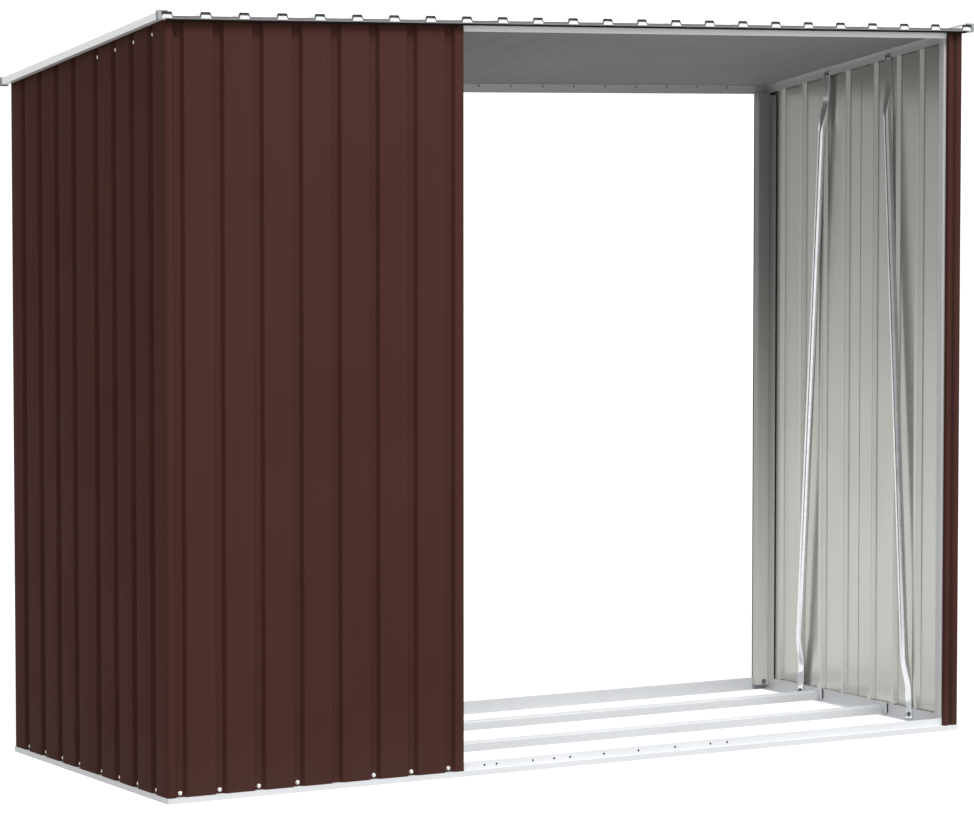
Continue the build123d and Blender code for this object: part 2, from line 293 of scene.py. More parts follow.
def carried_sheet(
    line: FoldLine, thickness: float, plane: SectionPlane, start: Cut, end: Cut, rows: Array = ROW_SHARES
) -> Surface:
    """Carry a folded section along its plane's direction between two cuts.

    The first face is the section line moved along the direction by the share v of its way between
    the cuts. The second face is the same line moved along its normals by the sheet's thickness.
    Finish 0 is the first face, 1 the second and 2 the cut edges round both.

    Args:
        line: The section.
        thickness: Thickness of the sheet, to the left of the line.
        plane: Plane of the section.
        start: Where the sheet begins.
        end: Where the sheet ends.
        rows: Shares of the way at which there is a row of vertices.

    Returns:
        The closed sheet.
    """
    count = len(line.points)
    total = len(rows) * count
    faces = []
    for flat in (line.points, line.points + thickness * line.normals):
        foot = plane.place(flat)
        first = start.reach(foot, plane.direction)
        way = first + (end.reach(foot, plane.direction) - first) * rows[:, None]
        faces.append((foot + way[..., None] * plane.direction, way))
    (outer, way), (inner, _) = faces
    quads = grid_quads(len(rows), count)
    column = np.arange(count - 1)
    last_row = total - count
    end_strip = np.stack([column, column + 1, column + 1 + total, column + total], axis=-1)
    row = np.arange(len(rows) - 1) * count
    side_strip = np.stack([row, row + count, row + count + total, row + total], axis=-1)
    uv = np.stack(np.broadcast_arrays(line.length, way), axis=-1).reshape(-1, 2)
    return Surface(
        np.concatenate([outer.reshape(-1, 3), inner.reshape(-1, 3)]),
        [
            quads,
            quads[:, ::-1] + total,
            np.concatenate(
                [end_strip[:, ::-1], end_strip + last_row, side_strip, side_strip[:, ::-1] + count - 1]
            ),
        ],
        [0, 1, 2],
        np.concatenate([uv, uv]),
        np.tile(line.fold, 2 * len(rows)),
    )


def turned_heads(
    centres: Array, axis: Triple, outline: Sequence[Pair], segments: int = 14, finish: int = 0
) -> Surface:
    """Turn an outline round an axis at each of several centres.

    A point is its centre plus r*cos(a) and r*sin(a) along two directions across the axis plus h
    along the axis. The pair (r, h) runs along the outline and a goes round in equal steps. A flat
    cap closes each end.

    Args:
        centres: Where the heads sit, one row each.
        axis: Way in which the heads point.
        outline: Pairs of radius and height, from the seat outwards.
        segments: Steps round the axis; six give a hexagon.
        finish: Number of the heads' material.

    Returns:
        All heads as one surface.
    """
    direction = np.array(axis) / np.linalg.norm(axis)
    helper = (1.0, 0.0, 0.0) if abs(direction[2]) > 0.9 else (0.0, 0.0, 1.0)
    first = np.cross(helper, direction)
    first /= np.linalg.norm(first)
    second = np.cross(direction, first)
    angle = 2.0 * np.pi * np.arange(segments) / segments
    ring = np.cos(angle)[:, None] * first + np.sin(angle)[:, None] * second
    radius, height = np.asarray(outline, float).T
    shape = radius[:, None, None] * ring + height[:, None, None] * direction
    centres = np.asarray(centres, float)
    points = (centres[:, None, None] + shape).reshape(-1, 3)
    each = len(radius) * segments
    offset = (np.arange(len(centres)) * each)[:, None]
    quads = (grid_quads(len(radius), segments, closed=True)[None] + offset[..., None]).reshape(-1, 4)
    top_cap = offset + np.arange(each - segments, each)
    back_cap = offset + np.arange(segments)[::-1]
    spread = np.broadcast_arrays(angle * radius.max(), height[:, None])
    uv = np.tile(np.stack(spread, axis=-1).reshape(-1, 2), (len(centres), 1))
    return Surface(points, [quads, top_cap, back_cap], [finish] * 3, uv, np.zeros(len(points)))


class BlockSide(IntEnum):
    """Upright sides of a block, in the order of its faces."""

    LEFT = 0
    RIGHT = 1
    FRONT = 2
    REAR = 3


def block(low: Triple, high: Triple, finish: int = 0) -> Surface:
    """Box between two corners; vertex 4i + 2j + k has the high x, y or z where i, j or k is 1.

    Args:
        low: Corner with the smallest x, y and z.
        high: Corner with the largest.
        finish: Number of the material of all its sides.

    Returns:
        The closed box.
    """
    corners = np.array([low, high], float)
    points = corners[np.indices((2, 2, 2)).reshape(3, -1).T, np.arange(3)]
    upright = [(0, 1, 3, 2), (4, 6, 7, 5), (0, 4, 5, 1), (2, 3, 7, 6)]
    sides = np.array([*upright, (0, 2, 6, 4), (1, 5, 7, 3)])
    return Surface(points, [sides], [finish], points[:, 1:], np.zeros(len(points)))


class NodeWeb:
    """Adds nodes to one node tree and joins their sockets."""

    def __init__(self, tree: bpy.types.NodeTree) -> None:
        """Keep the tree and start it empty."""
        self.tree = tree
        tree.nodes.clear()

    def add(self, kind: str, inputs: dict[str | int, object] | None = None, **settings: object) -> Node:
        """Add a node, set its own choices and fill its inputs.

        Args:
            kind: Type name of the node.
            inputs: Values or sockets for its inputs, by name or number.
            settings: Choices of the node itself, such as its operation.

        Returns:
            The new node.
        """
        node = self.tree.nodes.new(kind)
        for choice, value in settings.items():
            setattr(node, choice, value)
        for key, value in (inputs or {}).items():
            if isinstance(value, bpy.types.NodeSocket):
                self.tree.links.new(value, node.inputs[key])
            else:
                node.inputs[key].default_value = value
        return node

    def math(self, operation: str, first: object, second: object = 0.0, third: object = 0.0) -> Socket:
        """Result of one sum, product or other operation."""
        values = {0: first, 1: second, 2: third}
        return self.add("ShaderNodeMath", values, operation=operation).outputs[0]

    def ramp(self, value: Socket, low: object, high: object) -> Socket:
        """Smooth step from 0 at the low value to 1 at the high one."""
        inputs = {"Value": value, "From Min": low, "From Max": high}
        return self.add("ShaderNodeMapRange", inputs, interpolation_type="SMOOTHSTEP").outputs["Result"]

    def tint(self, share: object, first: object, second: object) -> Socket:
        """Colour that goes from the first to the second by a share."""
        inputs = {0: share, 6: first, 7: second}
        return self.add("ShaderNodeMix", inputs, data_type="RGBA").outputs[2]

    def noise(self, where: Socket, scale: object, detail: float) -> Socket:
        """Noise value at a place."""
        inputs = {"Vector": where, "Scale": scale, "Detail": detail}
        return self.add("ShaderNodeTexNoise", inputs).outputs[0]

    def place(self) -> Socket:
        """Place of the shaded point in the piece's own frame."""
        return self.add("ShaderNodeTexCoord").outputs["Object"]

    def effect(self, kind: "Effect", **values: float) -> Node:
        """Place a shared effect, with values for its named inputs."""
        return self.add("ShaderNodeGroup", values, node_tree=kind.group())

    def shade(
        self,
        colour: Socket,
        roughness: Socket,
        height: Socket,
        relief: float,
        constants: dict[str, float] | None = None,
    ) -> None:
        """End a material with its relief, its shader and its output.

        Args:
            colour: Base colour.
            roughness: Roughness.
            height: Height of the fine relief, from 0 to 1.
            relief: Depth of that relief in metres.
            constants: Values of the shader's other sockets, by name.
        """
        bump = self.add("ShaderNodeBump", {"Height": height, "Strength": 1.0, "Distance": relief})
        varied = {"Base Color": colour, "Roughness": roughness, "Normal": bump.outputs[0]}
        shader = self.add("ShaderNodeBsdfPrincipled", {**varied, **(constants or {})})
        self.add("ShaderNodeOutputMaterial", {"Surface": shader.outputs[0]})


class Effect(Enum):
    """Surface effects that several finishes share, each a node group."""

    COAT_GRAIN = "coat_grain"
    # Fold colour: rubbed wear on most coats, painted shade on the brown coat and the bare back, a painted
    # highlight on the pale roof.
    FOLD_WEAR_AND_SHADING = "fold_wear"
    # Low-down colour: dust on most coats, painted light on the bare back and the rear frame, lighter towards
    # the bottom.
    GROUND_DUST_AND_SHADING = "ground_dust"
    ROLL_STREAKS = "roll_streaks"
    ZINC_SPANGLE = "zinc_spangle"

    def group(self) -> bpy.types.NodeTree:
        """Node group of this effect, built at its first use."""
        made = bpy.data.node_groups.get(self.value)
        return made if made else getattr(EffectBook(), self.value)(self.value)


@dataclass(frozen=True)
class EffectBook:
    """Builds the shared node groups; each span is where a smooth step begins and ends."""

    grain_detail: float = 1.5
    cloud_detail: float = 4.0
    cloud_span: Pair = (0.25, 0.75)
    fold_span: Pair = (0.35, 1.0)
    patch_scale: float = 9.0
    patch_detail: float = 5.0
    patch_span: Pair = (0.42, 0.72)
    dust_and_shading_scale: float = 22.0
    dust_and_shading_detail: float = 4.0
    dust_and_shading_stretch: Triple = (1.0, 1.0, 0.3)
    dust_and_shading_sway: float = 0.16
    dust_and_shading_foot: float = 0.03
    line_stretch: Triple = (1.0, 0.006, 1.0)
    line_detail: float = 3.0
    line_span: Pair = (0.3, 0.7)
    haze_scale: float = 14.0
    haze_detail: float = 4.0
    haze_span: Pair = (0.3, 0.7)

    def _start(
        self, name: str, inputs: dict[str, float], outputs: Sequence[str]
    ) -> tuple[NodeWeb, Node, Node]:
        """Make an empty group with its sockets.

        Args:
            name: Name of the group.
            inputs: Names of its value inputs with their usual values.
            outputs: Names of its value outputs.

        Returns:
            The node web, the input node and the output node.
        """
        tree = bpy.data.node_groups.new(name, "ShaderNodeTree")
        for label, value in inputs.items():
            socket = tree.interface.new_socket(label, in_out="INPUT", socket_type="NodeSocketFloat")
            socket.default_value = value
        for label in outputs:
            tree.interface.new_socket(label, in_out="OUTPUT", socket_type="NodeSocketFloat")
        web = NodeWeb(tree)
        return web, web.add("NodeGroupInput"), web.add("NodeGroupOutput")

    def coat_grain(self, name: str) -> bpy.types.NodeTree:
        """Fine pebbling of a baked coat and its faint cloudiness over larger areas.

        Args:
            name: Name of the group.

        Returns:
            The group.
        """
        web, given, out = self._start(name, {"Grains": 260.0, "Clouds": 2.6}, ("Height", "Cloud"))
        where = web.place()
        fine = web.noise(where, given.outputs["Grains"], self.grain_detail)
        broad = web.noise(where, given.outputs["Clouds"], self.cloud_detail)
        web.tree.links.new(fine, out.inputs["Height"])
        web.tree.links.new(web.ramp(broad, *self.cloud_span), out.inputs["Cloud"])
        return web.tree

    def fold_wear(self, name: str) -> bpy.types.NodeTree:
        """Lines along the folds, from the mesh's fold weights, broken up by noise: rubbed wear on most
        coats, painted shade on the brown coat and the bare back, and a painted highlight on the pale roof.

        Args:
            name: Name of the group.

        Returns:
            The group.
        """
        web, given, out = self._start(name, {"Amount": 0.5}, ("Mask",))
        fold = web.add("ShaderNodeAttribute", attribute_name="fold").outputs["Fac"]
        patch = web.ramp(web.noise(web.place(), self.patch_scale, self.patch_detail), *self.patch_span)
        rubbed_and_shaded = web.math("MULTIPLY", web.ramp(fold, *self.fold_span), patch)
        web.tree.links.new(web.math("MULTIPLY", rubbed_and_shaded, given.outputs["Amount"]), out.inputs["Mask"])
        return web.tree

    def ground_dust(self, name: str) -> bpy.types.NodeTree:
        """Mask that is strongest near the ground and thins out upwards in uneven streaks: dust on most
        coats, and painted light on the bare back and the rear frame, which are lighter towards the bottom.

        Args:
            name: Name of the group.

        Returns:
            The group.
        """
        web, given, out = self._start(name, {"Reach": 0.25, "Amount": 0.3}, ("Mask",))
        where = web.place()
        height = web.add("ShaderNodeSeparateXYZ", {0: where}).outputs["Z"]
        drawn = web.add("ShaderNodeMapping", {"Vector": where, "Scale": self.dust_and_shading_stretch}).outputs[0]
        uneven = web.noise(drawn, self.dust_and_shading_scale, self.dust_and_shading_detail)
        ragged = web.math("MULTIPLY_ADD", uneven, self.dust_and_shading_sway, height)
        low = web.math("SUBTRACT", 1.0, web.ramp(ragged, self.dust_and_shading_foot, given.outputs["Reach"]))
        web.tree.links.new(web.math("MULTIPLY", low, given.outputs["Amount"]), out.inputs["Mask"])
        return web.tree

    def roll_streaks(self, name: str) -> bpy.types.NodeTree:
        """Faint lines that rolling leaves along a sheet, in the sheet's own coordinates.

        Args:
            name: Name of the group.

        Returns:
            The group.
        """
        web, given, out = self._start(name, {"Lines": 90.0}, ("Shade",))
        own = web.add("ShaderNodeUVMap", uv_map="sheet").outputs[0]
        drawn = web.add("ShaderNodeMapping", {"Vector": own, "Scale": self.line_stretch}).outputs[0]
        lines = web.noise(drawn, given.outputs["Lines"], self.line_detail)
        web.tree.links.new(web.ramp(lines, *self.line_span), out.inputs["Shade"])
        return web.tree

    def zinc_spangle(self, name: str) -> bpy.types.NodeTree:
        """Crystal flakes of a zinc layer: one grey for each cell, and a fine haze over them.

        Args:
            name: Name of the group.

        Returns:
            The group.
        """
        web, given, out = self._start(name, {"Flakes": 160.0}, ("Shade", "Haze"))
        where = web.place()
        cells = web.add("ShaderNodeTexVoronoi", {"Vector": where, "Scale": given.outputs["Flakes"]})
        grey = web.add("ShaderNodeSeparateColor", {0: cells.outputs["Color"]}).outputs[0]
        haze = web.ramp(web.noise(where, self.haze_scale, self.haze_detail), *self.haze_span)
        web.tree.links.new(grey, out.inputs["Shade"])
        web.tree.links.new(haze, out.inputs["Haze"])
        return web.tree


def linear(colour: Triple) -> tuple[float, float, float, float]:
    """Linear colour for a display colour, by the usual curve of displays.

    Args:
        colour: Red, green and blue from 0 to 255.

    Returns:
        Red, green and blue from 0 to 1, and full cover.
    """
    part = np.array(colour) / 255.0
    shade = np.where(part <= 0.04045, part / 12.92, ((part + 0.055) / 1.055) ** 2.4)
    return (*shade.tolist(), 1.0)


@dataclass(frozen=True)
class SurfaceFinish:
    """A finish, whose material is built once."""

    name: str

    def material(self) -> bpy.types.Material:
        """Material of this finish.

        Returns:
            The material, which the first call builds.
        """
        made = bpy.data.materials.get(self.name)
        if made is None:
            made = bpy.data.materials.new(self.name)
            made.use_nodes = True
            self.paint(NodeWeb(made.node_tree))
        return made

    def paint(self, web: NodeWeb) -> None:
        """Add the finish's nodes to its empty material."""
        raise NotImplementedError(self.name)


@dataclass(frozen=True)
class CoatedSteel(SurfaceFinish):
    """Baked coat on sheet steel: fine grain, faint clouds and streaks, folds in their own colour (rubbed
    wear on most coats, painted shade on some and a painted highlight on the pale roof), and dust low down,
    which on the bare back and the rear frame is painted light, lighter towards the bottom.
    """

    colour: Triple
    cloud_colour: Triple
    wear_and_shading_colour: Triple
    roughness: float = 0.35
    roughness_spread: float = 0.05
    grain: float = 0.00002
    wear_and_shading: float = 0.3
    dust_and_shading: float = 0.25
    dust_and_shading_reach: float = 0.25
    dust_and_shading_colour: Triple = (150, 140, 128)
    dust_and_shading_matt: float = 0.3
    streaks: float = 0.25
    gloss: float = 0.5
    metal: float = 0.0

    def paint(self, web: NodeWeb) -> None:
        """Add the coat's nodes: clouds and streaks, then the folds' colour (rubbed wear, painted shade on
        some coats and a painted highlight on the pale roof), then dust over both, which on the bare back and
        the rear frame is painted light.

        Args:
            web: Node web of the empty material.
        """
        grain = web.effect(Effect.COAT_GRAIN)
        wear_and_shading = web.effect(Effect.FOLD_WEAR_AND_SHADING, Amount=self.wear_and_shading)
        dust_and_shading = web.effect(Effect.GROUND_DUST_AND_SHADING, Amount=self.dust_and_shading, Reach=self.dust_and_shading_reach)
        lines = web.effect(Effect.ROLL_STREAKS)
        cloud = grain.outputs["Cloud"]
        clouded = web.math("MULTIPLY_ADD", lines.outputs["Shade"], self.streaks, cloud)
        share = web.math("MULTIPLY", clouded, 1.0 / (1.0 + self.streaks))
        coat = web.tint(share, linear(self.colour), linear(self.cloud_colour))
        # Folds: rubbed wear, painted shade where the fold colour is darker (brown coat, bare back), a
        # painted highlight on the pale roof.
        rubbed_and_shaded = web.tint(wear_and_shading.outputs["Mask"], coat, linear(self.wear_and_shading_colour))
        # Low-down colour: dust on most coats, painted light on the bare back and the rear frame, lighter
        # towards the bottom.
        dusted_and_shaded = web.tint(dust_and_shading.outputs["Mask"], rubbed_and_shaded, linear(self.dust_and_shading_colour))
        smooth = self.roughness - self.roughness_spread / 2
        rough = web.math("MULTIPLY_ADD", cloud, self.roughness_spread, smooth)
        matt = web.math("MULTIPLY_ADD", dust_and_shading.outputs["Mask"], self.dust_and_shading_matt, rough)
        constants = {"Specular IOR Level": self.gloss, "Metallic": self.metal}
        web.shade(dusted_and_shaded, matt, grain.outputs["Height"], self.grain, constants)


@dataclass(frozen=True)
class Zinc(SurfaceFinish):
    """Bare zinc on steel: flakes of slightly different greys and a haze in the gloss."""

    dark: Triple
    light: Triple
    roughness: float = 0.28
    roughness_spread: float = 0.12
    flakes: float = 160.0
    grains: float = 420.0
    grain: float = 0.000015

    def paint(self, web: NodeWeb) -> None:
        """Add the zinc's nodes: a grey for each flake, and a roughness that follows the haze.

        Args:
            web: Node web of the empty material.
        """
        flake = web.effect(Effect.ZINC_SPANGLE, Flakes=self.flakes)
        grain = web.effect(Effect.COAT_GRAIN, Grains=self.grains)
        colour = web.tint(flake.outputs["Shade"], linear(self.dark), linear(self.light))
        smooth = self.roughness - self.roughness_spread / 2
        rough = web.math("MULTIPLY_ADD", flake.outputs["Haze"], self.roughness_spread, smooth)
        web.shade(colour, rough, grain.outputs["Height"], self.grain, {"Metallic": 1.0})


@dataclass(frozen=True)
class MouldedPlastic(SurfaceFinish):
    """Matt moulded plastic with a fine sparked texture."""

    colour: Triple
    cloud_colour: Triple
    roughness: float = 0.55
    roughness_spread: float = 0.1
    grains: float = 900.0
    clouds: float = 30.0
    grain: float = 0.00008

    def paint(self, web: NodeWeb) -> None:
        """Add the plastic's nodes: clouds in the colour, and a roughness that follows the grain.

        Args:
            web: Node web of the empty material.
        """
        grain = web.effect(Effect.COAT_GRAIN, Grains=self.grains, Clouds=self.clouds)
        height = grain.outputs["Height"]
        colour = web.tint(grain.outputs["Cloud"], linear(self.colour), linear(self.cloud_colour))
        smooth = self.roughness - self.roughness_spread / 2
        rough = web.math("MULTIPLY_ADD", height, self.roughness_spread, smooth)
        web.shade(colour, rough, height, self.grain)


class Finish(Enum):
    """The finishes of the store; a coat has its own colour, its clouds' and that of its folds, which is
    rubbed wear on most coats, painted shade on the brown coat and the bare back and a painted highlight on
    the pale roof.
    """

    # Painted shade: its fold colour is darker than the coat, which gives dark lines along the valley folds.
    BROWN_COAT = CoatedSteel(
        "brown_coat", (72, 45, 40), (69, 42, 37), (50, 31, 27), 0.55, wear_and_shading=0.12, dust_and_shading=0.03, gloss=0.015
    )
    # Painted shade: its fold colour is darker than the coat, which gives dark lines along the folds.
    BARE_BACK = CoatedSteel(
        "bare_back", (195, 194, 189), (186, 185, 180), (136, 135, 132), 0.24, wear_and_shading=0.2, dust_and_shading=0.5,
        # Painted light: a lighter colour that reaches 1.6 m up, lighter towards the bottom of the inner
        # walls.
        dust_and_shading_reach=1.6, dust_and_shading_colour=(216, 215, 210), dust_and_shading_matt=0.0, metal=0.75,
    )
    ROOF_BACK = CoatedSteel(
        "roof_back", (147, 148, 145), (144, 145, 142), (142, 143, 140), 0.7, wear_and_shading=0.1, dust_and_shading=0.0,
        streaks=0.05, gloss=0.05,
    )
    # Painted highlight: its fold colour is lighter than the coat, which gives bright lines along the rib
    # folds.
    PALE_ROOF = CoatedSteel(
        "pale_roof", (178, 181, 183), (172, 175, 177), (206, 208, 208), 0.36, dust_and_shading=0.0
    )
    # Painted highlight: a whiter copy of the pale roof coat for the ribs' upper faces.
    RIB_HIGHLIGHT = CoatedSteel(
        "rib_painted_highlight", (246, 247, 247), (242, 244, 244), (250, 250, 250), 0.36, dust_and_shading=0.0
    )
    BROWN_EDGE = CoatedSteel(
        "brown_edge", (62, 42, 37), (54, 36, 32), (70, 50, 44), 0.5, dust_and_shading=0.0, gloss=0.1
    )
    # Near-black: the roof's cut edges, and painted shade on the strip behind the drip lip, the clip pads and
    # the discs behind the rail holes.
    DARK_EDGE_AND_SHADE = CoatedSteel(
        "dark_edge_and_painted_shade", (20, 19, 19), (15, 15, 15), (30, 29, 29), 0.6, dust_and_shading=0.0, gloss=0.05
    )
    DRIP_LIP = CoatedSteel(
        "drip_lip", (116, 113, 114), (106, 103, 104), (134, 132, 132), 0.42, dust_and_shading=0.0, gloss=0.3
    )
    PALE_RAIL = CoatedSteel(
        "rail_coat", (226, 228, 231), (218, 220, 223), (234, 235, 236), 0.32, dust_and_shading=0.03, gloss=0.3
    )
    VERGE_COAT = CoatedSteel(
        "verge_coat", (252, 254, 252), (249, 251, 249), (254, 254, 254), 0.25, dust_and_shading=0.0, gloss=1.0
    )
    GREY_FRAME = CoatedSteel(
        "frame_coat", (196, 196, 196), (188, 188, 189), (210, 210, 210), 0.35, wear_and_shading=0.5, dust_and_shading=0.04, metal=0.2
    )
    # Painted shade: a darker copy of the frame grey for the rear posts and the post legs.
    SHADED_REAR_FRAME = CoatedSteel(
        "rear_frame_painted_shade", (140, 141, 138), (134, 135, 132), (156, 156, 154), 0.4, wear_and_shading=0.5, dust_and_shading=0.95,
        # Painted light: a much lighter colour that reaches 1.6 m up, lighter towards the bottom of the
        # posts.
        dust_and_shading_reach=1.6, dust_and_shading_colour=(220, 221, 215), gloss=0.3, metal=0.1,
    )
    TUBE_ZINC = Zinc("tube_zinc", (226, 228, 230), (236, 238, 240), 0.13)
    BOLT_ZINC = Zinc("bolt_zinc", (122, 123, 124), (150, 151, 152), 0.3, flakes=500.0)
    SCREW_WHITE = CoatedSteel(
        "screw_white", (246, 246, 243), (238, 238, 235), (250, 250, 248), 0.3, dust_and_shading=0.0
    )
    RIB_END = CoatedSteel(
        "rib_end", (212, 213, 213), (204, 205, 205), (196, 197, 197), 0.4, dust_and_shading=0.0, gloss=0.3
    )
    CAP_PLASTIC = MouldedPlastic("cap_plastic", (150, 152, 154), (138, 140, 142))

    def material(self) -> bpy.types.Material:
        """Blender material of this finish."""
        return self.value.material()


SHEET_FINISHES = (Finish.BROWN_COAT, Finish.BARE_BACK, Finish.BROWN_EDGE)
ROOF_FINISHES = (Finish.ROOF_BACK, Finish.PALE_ROOF, Finish.DARK_EDGE_AND_SHADE, Finish.DRIP_LIP, Finish.RIB_HIGHLIGHT)


def settle(piece: bpy.types.Object, stands_for: str = "") -> None:
    """Attach a new piece to the store's body and hide the node that it stands for.

    Args:
        piece: The new piece.
        stands_for: Name of the node that it replaces, if any.
    """
    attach(piece, "root")
    if stands_for:
        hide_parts(stands_for)
    LOG.info("%s: %d faces", piece.name, len(piece.data.polygons))


@dataclass
class WallSheets:
    """Corrugated sheets of the four walls and the narrow cover jambs, brown outside and pale inside."""

    thickness: float = 0.001
    valley_width: float = 0.031
    valley_floor: float = 0.018
    valley_pitch: float = 0.108
    sheet_valleys: int = 4
    side_middle_gap: float = 0.1364
    first_valley: float = 0.0373
    seam: float = 0.4453
    corner_return: float = 0.0205
    corner_bend: float = 0.009
    fold_radius: float = 0.0022
    groove_width: float = 0.012
    groove_floor: float = 0.006
    groove_depth: float = 0.007
    groove_start: float = 0.0218
    groove_radius: float = 0.0016
    jamb_face: float = 0.013
    end_return: float = 0.012

    def valley(self, centre: float) -> list[Pair]:
        """Section points of one valley, from its first edge to its last.

        Args:
            centre: Place of the valley along the wall.

        Returns:
            Pairs of place along the wall and depth behind its face.
        """
        edge = self.valley_width / 2
        floor = self.valley_floor / 2
        steps = ((-edge, 0.0), (-floor, STORE.valley_drop), (floor, STORE.valley_drop), (edge, 0.0))
        return [(centre + step, depth) for step, depth in steps]

    def side_valleys(self) -> list[float]:
        """Valley places of a side wall's first sheet, from its corner."""
        last = (STORE.depth - self.side_middle_gap) / 2
        return [last - step * self.valley_pitch for step in reversed(range(self.sheet_valleys))]

    def front_valleys(self) -> list[float]:
        """Valley places of a closed stretch, from the left-hand corner."""
        return [self.first_valley + step * self.valley_pitch for step in range(2 * self.sheet_valleys)]

    def outlines(self) -> dict[str, tuple[Wall, list[Pair]]]:
        """Sections of all the sheets.

        Returns:
            Wall and section points of each sheet, by the name of its node.
        """
        gap = STORE.fit_gap / 2
        side = [(0.0, self.corner_return), (0.0, 0.0)]
        for centre in self.side_valleys():
            side += self.valley(centre)
        side.append((STORE.depth / 2 - gap, 0.0))
        front = [point for centre in self.front_valleys() for point in self.valley(centre)]
        half = len(front) // 2
        corner = [*front[:half], (self.seam - gap, 0.0)]
        bay = [(self.seam + gap, 0.0), *front[half:]]
        bay += [(STORE.closed_bay, 0.0), (STORE.closed_bay, self.end_return)]
        flank = (self.groove_width - self.groove_floor) / 2
        start = self.groove_start
        jamb = [
            (start, 0.0),
            (start + flank, self.groove_depth),
            (start + flank + self.groove_floor, self.groove_depth),
            (start + self.groove_width, 0.0),
            (start + self.groove_width + self.jamb_face, 0.0),
            (start + self.groove_width + self.jamb_face, self.end_return),
        ]
        return {
            "right_wall_front_sheet": (Wall.RIGHT, side),
            "right_wall_rear_sheet": (Wall.RIGHT, self.turned(side, STORE.depth)),
            "left_wall_rear_sheet": (Wall.LEFT, side),
            "left_wall_front_sheet": (Wall.LEFT, self.turned(side, STORE.depth)),
            "front_wall_corner_sheet": (Wall.FRONT, corner),
            "rear_wall_corner_sheet": (Wall.REAR, self.turned(corner, STORE.width)),
            "front_wall_bay_sheet": (Wall.FRONT, bay),
            "rear_wall_bay_sheet": (Wall.REAR, self.turned(bay, STORE.width)),
            "front_right_jamb": (Wall.FRONT, self.turned(jamb, STORE.width)),
            "rear_right_jamb": (Wall.REAR, jamb),
        }

    @staticmethod
    def turned(points: list[Pair], length: float) -> list[Pair]:
        """The same section seen from the other end of a wall."""
        return [(length - place, depth) for place, depth in reversed(points)]

    def build(self) -> None:
        """Make every wall sheet and jamb in place of its node."""
        foot = Cut((0.0, 0.0, STORE.sheet_foot), (0.0, 0.0, 1.0))
        for node, (wall, points) in self.outlines().items():
            depth = np.array(points)[:, 1]
            returned = depth == self.corner_return
            corner = (depth[1:-1] == 0.0) & (returned[:-2] | returned[2:])
            fold = self.groove_radius if node.endswith("jamb") else self.fold_radius
            radii = np.where(corner, self.corner_bend, fold)
            sheet = carried_sheet(fold_line(points, radii), self.thickness, wall.value, foot, UNDER_ROOF)
            piece = sheet.to_object(f"{node}_dressed", [finish.material() for finish in SHEET_FINISHES])
            settle(piece, node)


